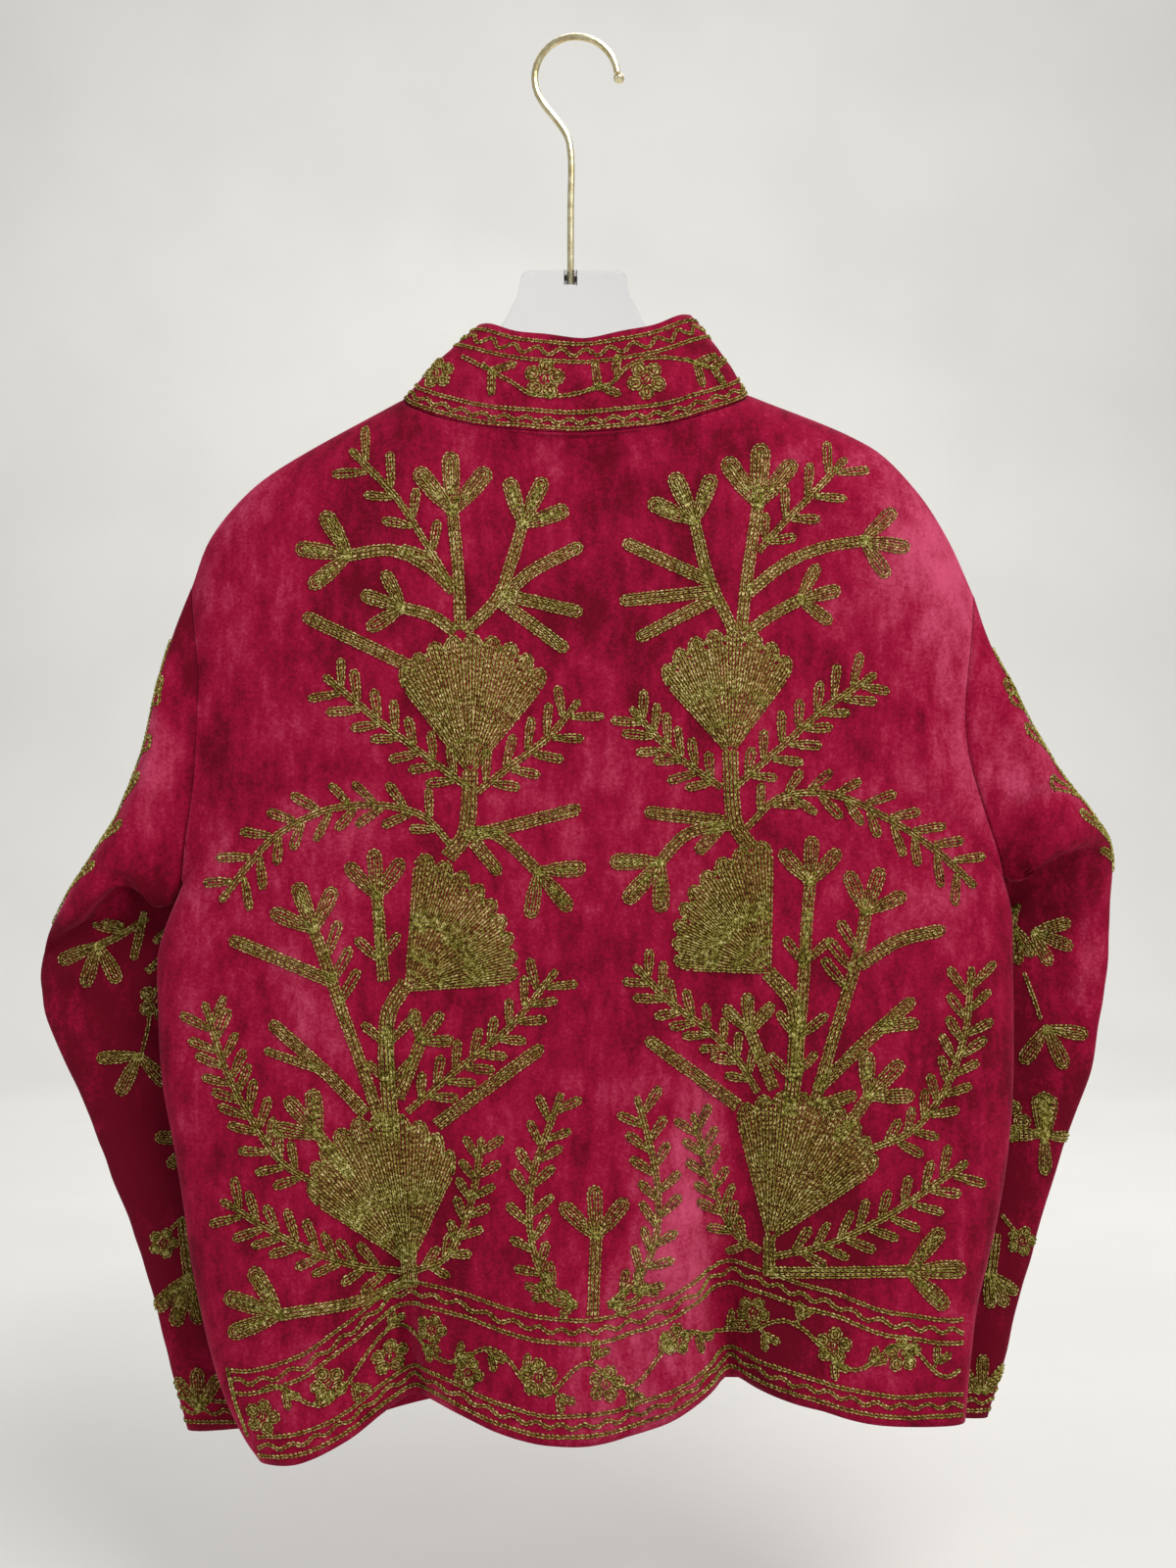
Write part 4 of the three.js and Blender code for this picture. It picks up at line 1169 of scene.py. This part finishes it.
def sprig(points, leaves, length, rows=2, first=0.10):
    """A stem with pairs of loop leaves and one at the tip."""
    path = evenly(through(*points), 0.8)
    at = np.linspace(0, 1, len(path))
    paths = stem([tuple(p) for p in evenly(through(*points), 6)], rows, SPRIG_APART)
    for k in range(leaves):
        share = first + (0.94 - first) * k / max(1, leaves - 1)
        for side in (-1, 1):
            place = np.clip(share + side * 0.018 + RANDOM.uniform(-0.01, 0.01), 0, 1)
            i = min(int(np.searchsorted(at, place)), len(path) - 2)
            run = path[min(i + 4, len(path) - 1)] - path[max(i - 4, 0)]
            heading = math.degrees(math.atan2(run[0], run[1]))
            reach = length * (1.1 + 0.2 * share) * RANDOM.uniform(0.86, 1.12)
            step = toward(heading + side * LEAF_ANGLE * RANDOM.uniform(0.85, 1.15))
            paths.append(leaf(path[i] - step * 1.5, path[i] + step * (reach + 5),
                              SPRIG_LEAF_WIDTH * RANDOM.uniform(0.94, 1.08)))
    tip = path[-1] - path[-5]
    tip /= np.linalg.norm(tip)
    paths.append(leaf(path[-1] - tip * 2.0, path[-1] + tip * length * 0.8))
    return paths


def flower(centre, radius, turn):
    """Five small round petals about a short line in the middle."""
    centre = np.array(centre, float)
    paths = []
    lobe = radius * LOBE_SIZE
    ring = np.linspace(0, 2 * math.pi, 14)
    row = lobe - ROW / 2
    for k in range(FLOWER_LOBES):
        out = turn + 360 * k / FLOWER_LOBES
        middle = centre + toward(out) * radius * LOBE_PLACE
        angles = ring + math.radians(out)
        paths.append(middle + row * np.stack([np.sin(angles), np.cos(angles)], -1))
        half = toward(out) * row * 0.5
        for step in (-LOBE_FILL, LOBE_FILL):
            off = middle + toward(out + 90) * step
            paths.append([off - half, off + half])
    half = toward(turn) * radius * FLOWER_EYE
    paths.append([centre - half, centre + half])
    return paths


def fork(base, angle, length, prongs):
    """A short stalk that parts into small prongs."""
    base = np.array(base, float)
    knot = base + toward(angle) * length * 0.35
    paths = [np.array([base, knot])]
    for turn in prongs:
        end = knot + toward(angle + turn) * length * 0.65
        paths += bar([tuple(knot), tuple(end)], 2)
    return paths


# ---- the trees on the back ------------------------------------------------------------

# Fans: apex, first and last angle, reaches, scallops.
LEFT_FANS = [((-66, -465), -37.5, 39.5, (76, 87, 77), 9),
             ((-105, -597), 4, 86, (86, 78, 69), 9),
             ((-103, -765), -57, 25, (76, 96, 70), 10)]
RIGHT_FANS = [((93, -453), -42, 36.5, (66, 78, 68), 8),
              ((117, -586), -88, 1, (58, 72, 82), 9),
              ((117, -750), -14.5, 57, (84, 94, 82), 9)]

# Tulips: base, heading, petal length, stem, rows of the stem, spread.
LEFT_TULIPS = [
    ((-77, -304), -2, 39, [(-72, -377), (-74, -335)], 3, 42),
    ((-141, -331), -82, 35, [(-76, -353), (-92, -338), (-114, -328)], 3, 52),
    ((-108, -363), -72, 29, [(-75, -378), (-90, -368)], 3, 46),
    ((-34, -312), 25, 34, [(-70, -378), (-50, -358), (-41, -335)], 3, 43),
    ((-24, -525), 140, 33, [(-66, -500), (-50, -502)], 3, 49),
    ((-123, -540), -4, 32, [(-119, -592), (-121, -566)], 3, 42),
    ((-162, -560), -20, 33, [(-120, -681), (-132, -645), (-147, -603), (-156, -576)], 3, 45),
    ((-96, -628), 36, 24, [(-110, -664)], 3, 48),
    ((-159, -686), -41, 33, [(-138, -712)], 3, 36),
    ((-183, -796), -71, 38, [(-104, -775), (-136, -788)], 3, 43),
]
RIGHT_TULIPS = [
    ((110, -300), 3, 40, [(100, -377), (104, -340)], 3, 41),
    ((71, -310), -24, 35, [(95, -377), (80, -345)], 3, 46),
    ((175, -322), 99, 31, [(104, -354), (127, -336), (151, -326)], 3, 49),
    ((136, -358), 76, 28, [(101, -380), (118, -368)], 3, 54),
    ((50, -519), -139, 35, [(93, -496), (70, -500), (60, -507)], 3, 45),
    ((142, -531), 2, 31, [(133, -651), (138, -591), (140, -555)], 3, 44),
    ((176, -549), 19, 31, [(144, -669), (156, -627), (167, -591), (174, -563)], 3, 47),
    ((105, -622), -4, 26, [(120, -658)], 3, 40),
    ((178, -662), 44, 32, [(158, -690)], 3, 46),
    ((203, -769), 88, 37, [(117, -770), (160, -770)], 3, 46),
]

# Bars and stems: line, rows.
LEFT_BARS = [
    ([(-46, -357), (-30, -342), (2, -325)], 3), ([(-46, -355), (2, -366)], 3),
    ([(-48, -359), (-7, -389)], 3), ([(-103, -399), (-168, -368)], 3),
    ([(-70, -504), (1, -486)], 3), ([(-64, -506), (-48, -526)], 3),
    ([(-150, -592), (-213, -566)], 3), ([(-87, -680), (-22, -632)], 3),
    ([(-130, -673), (-152, -650), (-188, -617)], 3), ([(-158, -646), (-192, -634)], 2),
]
RIGHT_BARS = [
    ([(81, -347), (28, -323)], 3), ([(82, -353), (26, -359)], 3), ([(84, -357), (36, -382)], 3),
    ([(90, -494), (41, -488)], 3), ([(88, -496), (73, -513)], 3),
    ([(172, -582), (196, -567), (224, -560)], 3), ([(98, -668), (42, -627)], 3),
    ([(146, -658), (180, -625), (205, -603)], 3), ([(184, -620), (208, -617)], 3),
    ([(148, -668), (170, -661)], 3),
]
LEFT_STEMS = [([(-66, -463), (-69, -501), (-80, -516)], 4), ([(-104, -752), (-103, -779)], 4),
              ([(-105, -592), (-117, -615), (-114, -690)], 4)]
RIGHT_STEMS = [([(93, -451), (96, -495), (106, -510)], 4),
               ([(116, -586), (132, -606), (133, -640), (129, -674)], 4),
               ([(117, -748), (117, -772)], 3)]

# Sprigs: line, pairs of leaves, leaf length, rows of the stem, share of the line to the first pair.
LEFT_SPRIGS = [
    ([(-78, -349), (-90, -329), (-111, -296), (-132, -274)], 4, 15, 2, 0.22),
    ([(-66, -474), (-92, -455), (-120, -434), (-148, -411)], 7, 14),
    ([(-62, -476), (-40, -459), (-18, -442), (-6, -428)], 5, 15),
    ([(-78, -508), (-96, -490), (-124, -484), (-154, -487), (-184, -502), (-203, -522), (-213, -535)],
     9, 14),
    ([(-105, -672), (-74, -646), (-42, -620), (-19, -592)], 8, 13),
    ([(-160, -716), (-182, -702), (-200, -676), (-216, -645), (-226, -614)], 10, 14),
    ([(-108, -769), (-140, -765), (-176, -751), (-210, -731)], 8, 14),
    ([(-102, -769), (-82, -762), (-70, -742), (-63, -716), (-60, -694)], 7, 10),
    ([(-121, -582), (-122, -556)], 1, 16),
    ([(-114, -658), (-116, -630)], 2, 15),
]
RIGHT_SPRIGS = [
    ([(110, -329), (126, -311), (142, -295), (157, -279)], 4, 14),
    ([(96, -473), (128, -445), (152, -424), (174, -409)], 7, 14),
    ([(88, -473), (66, -458), (50, -444), (38, -431)], 6, 13),
    ([(103, -498), (124, -479), (158, -478), (196, -496), (222, -514), (236, -527)], 9, 14),
    ([(110, -660), (98, -640), (80, -622), (58, -606), (40, -588)], 8, 12),
    ([(178, -695), (206, -682), (226, -655), (237, -622), (240, -592)], 9, 13),
    ([(120, -760), (152, -753), (190, -735), (214, -719), (230, -708)], 8, 14),
    ([(112, -757), (96, -746), (84, -722), (76, -694), (72, -680)], 7, 11),
    ([(138, -584), (140, -558)], 1, 15),
    ([(131, -654), (134, -626)], 2, 15),
]
# Single leaves on one side of a stem.
LEFT_LEAVES = [((-155, -580), (-146, -554)), ((-151, -594), (-139, -570)), ((-148, -608), (-134, -584))]
RIGHT_LEAVES = [((172, -575), (159, -554)), ((169, -587), (152, -565)), ((166, -598), (149, -577))]
CENTRE_TULIPS = [((11, -748), -2, 34, [(9, -797), (10, -770)], 3, 42)]
CENTRE_SPRIGS = [
    ([(-2, -790), (-20, -775), (-29, -747), (-28, -712), (-18, -682), (-13, -668)], 8, 12),
    ([(18, -790), (36, -775), (47, -752), (49, -722), (44, -692), (38, -670)], 8, 12),
    ([(0, -790), (-16, -788), (-22, -780)], 2, 7), ([(18, -790), (34, -788), (40, -780)], 2, 7),
]


def tree(fans, tulips, bars, stems, sprigs, leaves=()):
    """All the lines of a tree, from its tables."""
    paths = []
    for row in fans:
        paths += fan(*row)
    for row in tulips:
        paths += tulip(*row)
    for row in bars:
        paths += bar(*row)
    for row in stems:
        paths += stem(*row)
    for row in sprigs:
        paths += sprig(*row)
    for base, tip in leaves:
        paths.append(leaf(base, tip, SINGLE_LEAF_WIDTH))
    return paths


# ---- borders --------------------------------------------------------------------------

LOWER_BAND = (6, 12.5, 18.5)     # heights of line, wave and line over the hem
UPPER_BAND = (62, 69, 76)
WAVE_LENGTH = 15
UPPER_SAG_LEFT = (17, 105, 215)  # how much the upper band drops outwards, from here to there
UPPER_SAG_RIGHT = (11, 125, 235)


def hem_line(points):
    """Height of the hem by x."""
    order = np.argsort(points[:, 0])
    return points[order, 0], points[order, -1]


def wander(x, draw):
    """The slight wandering of a line sewn by hand."""
    return 0.5 * np.sin(x / 17 + draw.uniform(0, 6)) + 0.4 * np.sin(x / 7 + draw.uniform(0, 6))


def wave_line(x, height, stretch):
    """The border's wave. stretch says how much its pace drifts, and over what length."""
    return height * np.sin(2 * math.pi * x / WAVE_LENGTH + stretch[0] * np.sin(x / stretch[1]))


def border(hem, first, last, wave_seed, upper_reach=0):
    """Two bands of line, wave and line along a hem, between two places in x. The upper one may
    reach further to the left."""
    draw = np.random.default_rng(wave_seed)
    x = np.arange(first, last, 1.0)
    off = wander(x, draw)
    lower = zip(LOWER_BAND, (0.5 * off, wave_line(x, 1.7, (0.8, 23)), off))
    hem_z = np.interp(x, *hem)
    far_x = np.arange(first - upper_reach, last, 1.0)
    off = wander(far_x, draw)
    upper = zip(UPPER_BAND, (off, wave_line(far_x, 1.9, (1.1, 19)), 0.8 * off))
    left, right = UPPER_SAG_LEFT, UPPER_SAG_RIGHT
    sagged_z = (np.interp(far_x, *hem) - left[0] * smoothstep(-far_x, *left[1:])
                - right[0] * smoothstep(far_x, *right[1:]))
    return ([np.stack([x, hem_z + height + line], -1) for height, line in lower]
            + [np.stack([far_x, sagged_z + height + line], -1) for height, line in upper])


# Flowers in the hem's vine: x, height over the hem, radius, turn.
HEM_FLOWERS = [(-193, 31, 12.5, 10), (-152, 41, 12.5, 40), (-117, 32, 12, 0), (-90, 48, 11, 20),
               (-67, 29, 11, 30), (-24, 40, 13, 0), (17, 36, 12.5, 15), (60, 48, 11, 0),
               (108, 48, 11, 30), (156, 42, 12.5, 10), (198, 44, 12.5, 0)]
HEM_END = [(-216, -830), (-211, -851), (-203, -872)]     # the line that closes the border
VINE_RISE = 40           # the vine's middle height over the hem
VINE_SWING = 10
VINE_WAVE = 62
FORK_APART = 21          # from one forked leaf to the next
FORK_LENGTH = 15
FORK_PRONGS = (-34, 30)


def hem_vine(hem, flowers, first, last):
    """A waving vine between the flowers with small forked leaves."""
    x = np.arange(first, last, 1.5)
    low = np.interp(x, *hem)
    turned = 2 * math.pi * (x - first) / VINE_WAVE + 0.6 * np.sin(x / 40)
    rise = VINE_RISE + VINE_SWING * np.sin(turned)
    paths = [np.stack([x, low + rise], -1)]
    for place, height, radius, turn in flowers:
        paths += flower((place, float(np.interp(place, *hem)) + height), radius, turn)
    for k, place in enumerate(np.arange(first + 14, last - 8, FORK_APART)):
        up = 1 if k % 2 else -1
        base = (place, float(np.interp(place, x, low + rise)))
        paths += fork(base, 90 - 50 * up + RANDOM.uniform(-12, 12), FORK_LENGTH, FORK_PRONGS)
    return paths


def sew_band(work, ground, row, lines):
    """Lines of stitches all along the cloth: height over the row and how much each waves."""
    length = ground.girth(row)[-1]
    turns = max(4, round(length / 14))
    x = np.linspace(0, length, int(length))
    for height, wave in lines:
        rise = wave * np.sin(2 * math.pi * turns * x / length)
        work.wrap(ground, row, [np.stack([x, height + rise + 0.3 * np.sin(x / 9)], -1)])


# ---- stitches on the collar -----------------------------------------------------------

# Bands along the collar's seam and its top edge: height, how much each line waves.
COLLAR_LOW_BAND = [(2.2, 0), (6.2, 1.6), (11.5, 0)]
COLLAR_TOP_BAND = [(-16, 0), (-10.2, 2.6), (-4.6, 0)]
# Flowers on the back of the collar: middle, radius, turn. Then the vine between them, and its
# forked leaves: base, heading, length, prongs.
COLLAR_FLOWERS = [((-21, -222), 14, 10), ((42, -222), 13.5, 36), ((-88, -214), 12, 0)]
COLLAR_VINE = [(-73, -204), (-58, -213), (-40, -224), (-29, -231), (-6, -232), (6, -229), (20, -225),
               (29, -215), (44, -208), (66, -208), (84, -212)]
COLLAR_FORKS = [((-60, -210), 130, 24, (-55, 50)), ((5, -230), 60, 23, (-68, 52)),
                ((24, -223), 350, 17, (18,)), ((66, -207), 112, 23, (-52, 52)),
                ((78, -211), 100, 18, (-58, 46))]
# The same kind of work in front of each shoulder, hidden by the back.
COLLAR_FRONT = [((-72, -235), 11, 0), ((70, -235), 11, 20), ((-36, -262), 10, 40), ((38, -262), 10, 0)]


def sew_collar(ground):
    work = Needlework("stitches_collar")
    sew_band(work, ground, 0, COLLAR_LOW_BAND)
    sew_band(work, ground, len(ground.grid) - 1, COLLAR_TOP_BAND)
    work.drop(ground, -1, [through(*COLLAR_VINE)])
    for row in COLLAR_FLOWERS:
        work.drop(ground, -1, flower(*row))
    for row in COLLAR_FORKS:
        work.drop(ground, -1, fork(*row))
    for row in COLLAR_FRONT:
        work.drop(ground, 1, flower(*row))
    return work.make()


collar_stitches = sew_collar(collar_ground)

# ---- stitches on the sleeves and the back -------------------------------------------

# Tulips: base, heading, petal length, spread. Flowers: middle, radius. Stems: line, rows.
SLEEVE_TULIPS = {
    "left": [((-306, -574), 200, 31, 44), ((-283, -646), 206, 30, 62), ((-247, -700), -85, 28, 50),
             ((-251, -788), 196, 36, 26), ((-244, -873), -4, 29, 30)],
    "right": [((292, -566), 112, 28, 40), ((280, -563), 172, 27, 26), ((300, -628), 154, 31, 58),
              ((299, -697), 178, 28, 88), ((299, -700), 0, 34, 8), ((264, -786), 152, 27, 26),
              ((259, -863), 2, 28, 36)]}
SLEEVE_FLOWERS = {
    "left": [((-271, -611), 14), ((-267, -766), 11)],
    "right": [((277, -688), 15), ((285, -765), 11)]}
SLEEVE_STEMS = {
    "left": [([(-276, -556), (-290, -566), (-306, -574)], 2), ([(-276, -618), (-281, -646)], 1),
             ([(-254, -750), (-251, -775), (-249, -792)], 4), ([(-262, -757), (-254, -750)], 1),
             ([(-278, -592), (-262, -578)], 2)],
    "right": [([(280, -550), (279, -563)], 2), ([(286, -592), (297, -622)], 1),
              ([(290, -694), (300, -698)], 1), ([(267, -760), (264, -788)], 4),
              ([(272, -748), (280, -758)], 1)]}
SLEEVE_LEAVES = {
    "left": [((-287, -562), (-304, -558)), ((-288, -566), (-310, -560)), ((-276, -545), (-286, -585)),
             ((-262, -562), (-274, -574))],
    "right": [((284, -545), (276, -562))]}
SLEEVE_FLOWER_TURN = 20
ARM_SPRIG_Z = -490       # height of the sprig over the upper arm
CUFF_BAND = [(4.5, 0), (10, 1.7), (16, 0)]


def sew_sleeve(side, ground):
    work = Needlework(f"stitches_sleeve_{side}")
    for facing in (-1, 1):
        for base, heading, length, spread in SLEEVE_TULIPS[side]:
            work.drop(ground, facing, tulip(base, heading, length, (), 3, spread))
        for middle, radius in SLEEVE_FLOWERS[side]:
            work.drop(ground, facing, flower(middle, radius, SLEEVE_FLOWER_TURN))
        for line, rows in SLEEVE_STEMS[side]:
            work.drop(ground, facing, stem(line, rows))
        work.drop(ground, facing, [leaf(base, tip) for base, tip in SLEEVE_LEAVES[side]])
    heights = np.abs(ground.grid[:, 0, 2] - ARM_SPRIG_Z)
    work.wrap(ground, int(heights[:len(heights) // 2].argmin()),
              sprig([(8, -34), (11, 0), (10, 40)], 5, 15) + tulip((10, 44), 0, 22))
    sew_band(work, ground, len(ground.grid) - 1, CUFF_BAND)
    return work.make()


BORDER_ENDS = (-197, 238)
VINE_ENDS = (-196, 236)
UPPER_REACH = 17         # the upper band reaches this much further to the left
BACK_SEED = 3
FRONT_SEED = 11


def sew_back(ground):
    """Both trees and the centre spray, laid out as they are seen, and the hem's border."""
    left = Needlework("stitches_back_left")
    left.drop(ground, -1, tree(LEFT_FANS, LEFT_TULIPS, LEFT_BARS, LEFT_STEMS, LEFT_SPRIGS,
                               LEFT_LEAVES), sight=True)
    right = Needlework("stitches_back_right")
    right.drop(ground, -1, tree(RIGHT_FANS, RIGHT_TULIPS, RIGHT_BARS, RIGHT_STEMS, RIGHT_SPRIGS,
                                RIGHT_LEAVES), sight=True)
    centre = Needlework("stitches_back_hem")
    centre.drop(ground, -1, tree([], CENTRE_TULIPS, [], [], CENTRE_SPRIGS), sight=True)
    hem = hem_line(curve_through(BACK_HEM)(np.linspace(0, 1, 400)))
    centre.drop(ground, -1, border(hem, *BORDER_ENDS, BACK_SEED, UPPER_REACH))
    centre.drop(ground, -1, stem(HEM_END, 1))
    centre.drop(ground, -1, hem_vine(hem, HEM_FLOWERS, *VINE_ENDS))
    return [work.make() for work in (left, right, centre)]


back_stitches = sew_back(back_ground)
sleeve_left_stitches = sew_sleeve("left", sleeve_left_ground)
sleeve_right_stitches = sew_sleeve("right", sleeve_right_ground)

# ---- stitches on the fronts -----------------------------------------------------------

# One plain tree on each front, in the cut of the left front, mirrored for the right.
FRONT_FANS = [((-128, -640), -40, 40, (70, 80, 70), 8)]
FRONT_TULIPS = [((-128, -450), 0, 34, [(-128, -500), (-127, -470)]),
                ((-172, -560), -52, 30, [(-128, -520)]), ((-84, -560), 52, 30, [(-128, -520)]),
                ((-180, -690), -60, 32, [(-130, -660)]), ((-74, -690), 60, 32, [(-126, -660)])]
FRONT_STEMS = [([(-128, -640), (-130, -700), (-126, -756)], 4), ([(-128, -560), (-128, -500)], 3)]
FRONT_SPRIGS = [([(-128, -752), (-160, -730), (-188, -700)], 5, 15),
                ([(-126, -752), (-94, -730), (-66, -700)], 5, 15),
                ([(-120, -480), (-90, -450), (-62, -400)], 5, 15),
                ([(-136, -480), (-166, -450), (-196, -400)], 5, 15)]
FRONT_FLOWERS = [(-180, 40, 11, 0), (-134, 42, 11, 30), (-88, 38, 11, 12), (-44, 42, 11, 40)]
# The straight band beside the opening: distance from the middle, how much each line waves.
FRONT_BAND = [(10, 0), (16.5, 1.6), (23, 0)]
FRONT_BAND_ENDS = 8


def mirrored(paths, sign):
    """The lines as they are for a sign of 1, and with left and right changed for -1."""
    return [np.asarray(path, float) * (sign, 1) for path in paths]


def sew_front(side, ground):
    sign = SIGN[side]
    work = Needlework(f"stitches_front_{side}")
    work.drop(ground, 1, mirrored(tree(FRONT_FANS, FRONT_TULIPS, [], FRONT_STEMS, FRONT_SPRIGS), -sign))
    hem = hem_line(ground.grid[0])
    first, last = hem[0][0] + 3, hem[0][-1] - 3
    work.drop(ground, 1, border(hem, first, last, FRONT_SEED))
    z = np.arange(FRONT_HEM_Z + FRONT_BAND_ENDS, FRONT_NECK_Z - FRONT_BAND_ENDS, 2.0)
    for place, wave in FRONT_BAND:
        x = sign * (place + wave * np.sin(2 * math.pi * z / WAVE_LENGTH))
        work.drop(ground, 1, [np.stack([x, z], -1)])
    flowers = [(x * -sign, height, radius, turn) for x, height, radius, turn in FRONT_FLOWERS]
    vine_end = last - 24 if side == "left" else last - 2
    work.drop(ground, 1, hem_vine(hem, flowers, first + 1, vine_end))
    return work.make()


front_left_stitches = sew_front("left", front_left_ground)
front_right_stitches = sew_front("right", front_right_ground)

# ---- hanger and hook ------------------------------------------------------------------

RIM_WIDTH = 1.1          # the plate's edges are polished round over this
RIM_STEPS = 3
RIM_ANGLE = 50           # edges sharper than this are polished


def dress(piece, material):
    piece.data.materials.clear()
    piece.data.materials.append(material)


def make_plate():
    """The same plate with its edges polished round."""
    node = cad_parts["hanger"]
    piece = node.copy()
    piece.data = node.data.copy()
    piece.name = "clear_plate"
    for key in list(piece.keys()):
        del piece[key]
    piece.parent = None
    bpy.context.scene.collection.objects.link(piece)
    rim = piece.modifiers.new("polished_rim", "BEVEL")
    rim.width = RIM_WIDTH * MM
    rim.segments = RIM_STEPS
    rim.limit_method = "ANGLE"
    rim.angle_limit = math.radians(RIM_ANGLE)
    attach(piece, "root")
    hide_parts(node.name)
    dress(piece, ACRYLIC)


make_plate()
for name in ("hook", "ferrule", "hook_tip"):
    dress(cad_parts[name], BRASS)

# ---- room and light -------------------------------------------------------------------

FLOOR_Z = -1050
ROOM_BACK = 3200
ROOM_HALF = 6000
ROOM_NEAR = 3000
ROOM_TOP = 4000
ROOM_BEND = 900
BEND_STEPS = 12
PLASTER_PALE = (0.80, 0.79, 0.76)
PLASTER_DARK = tuple(c * 0.96 for c in PLASTER_PALE)


def plaster_surface(s, place):
    patchy = s.noise(place, 0.35, 3, 0.5)
    grain = s.noise(place, 0.006, 3, 0.6)
    return {"Base Color": s.mix(patchy.between(0.3, 0.7), PLASTER_PALE, PLASTER_DARK),
            "Normal": s.bump(grain, 0.0006, 0.3)}


def make_room():
    """A pale floor that bends up into a pale wall, well behind the jacket."""
    profile = [(-ROOM_NEAR, FLOOR_Z), (0, FLOOR_Z), (ROOM_BACK - ROOM_BEND, FLOOR_Z)]
    for step in range(1, BEND_STEPS + 1):
        angle = math.pi / 2 * step / BEND_STEPS
        profile.append((ROOM_BACK - ROOM_BEND + ROOM_BEND * math.sin(angle),
                        FLOOR_Z + ROOM_BEND * (1 - math.cos(angle))))
    profile.append((ROOM_BACK, ROOM_TOP))
    points = [(x * MM, y * MM, z * MM) for x in (-ROOM_HALF, ROOM_HALF) for y, z in profile]
    count = len(profile)
    faces = [(i, i + count, i + count + 1, i + 1) for i in range(count - 1)]
    mesh = bpy.data.meshes.new("floor")
    mesh.from_pydata(points, [], faces)
    mesh.shade_smooth()
    mesh.materials.append(finish("pale_plaster", {"Roughness": 0.9, "Specular IOR Level": 0.1},
                                 plaster_surface))
    floor = bpy.data.objects.new("floor", mesh)
    bpy.context.scene.collection.objects.link(floor)


# Lights: name, place, aim, size, power, colour. In metres.
LIGHTS = [
    ("key", (0.9, -1.5, 1.3), (0.05, 0, -0.42), (1.5, 1.0), 42, (1.0, 0.985, 0.96)),
    ("fill", (-2.6, -1.4, 0.2), (0, 0, -0.5), (1.6, 2.0), 10, (0.97, 0.98, 1.0)),
    ("behind", (0.6, 2.0, 1.8), (0, 0, -0.4), (2.0, 1.2), 30, (1.0, 0.99, 0.97)),
    ("wall", (0.0, 1.0, 1.5), (0, ROOM_BACK * MM, -0.2), (3.0, 1.0), 27, (1.0, 0.99, 0.97)),
]
ROOM_LIGHT = (0.94, 0.96, 1.0)
ROOM_LIGHT_POWER = 0.40


def area_light(name, place, aim, size, power, colour):
    data = bpy.data.lights.new(name, "AREA")
    data.shape = "RECTANGLE"
    data.size, data.size_y = size
    data.energy = power
    data.color = colour
    light = bpy.data.objects.new(name, data)
    light.location = place
    light.rotation_euler = (Vector(aim) - Vector(place)).to_track_quat("-Z", "Y").to_euler()
    bpy.context.scene.collection.objects.link(light)


def soft_light():
    """Even light from all round."""
    world = bpy.data.worlds.new("soft_light")
    world.use_nodes = True
    background = world.node_tree.nodes["Background"]
    background.inputs["Color"].default_value = (*ROOM_LIGHT, 1)
    background.inputs["Strength"].default_value = ROOM_LIGHT_POWER
    bpy.context.scene.world = world


make_room()
for row in LIGHTS:
    area_light(*row)
soft_light()
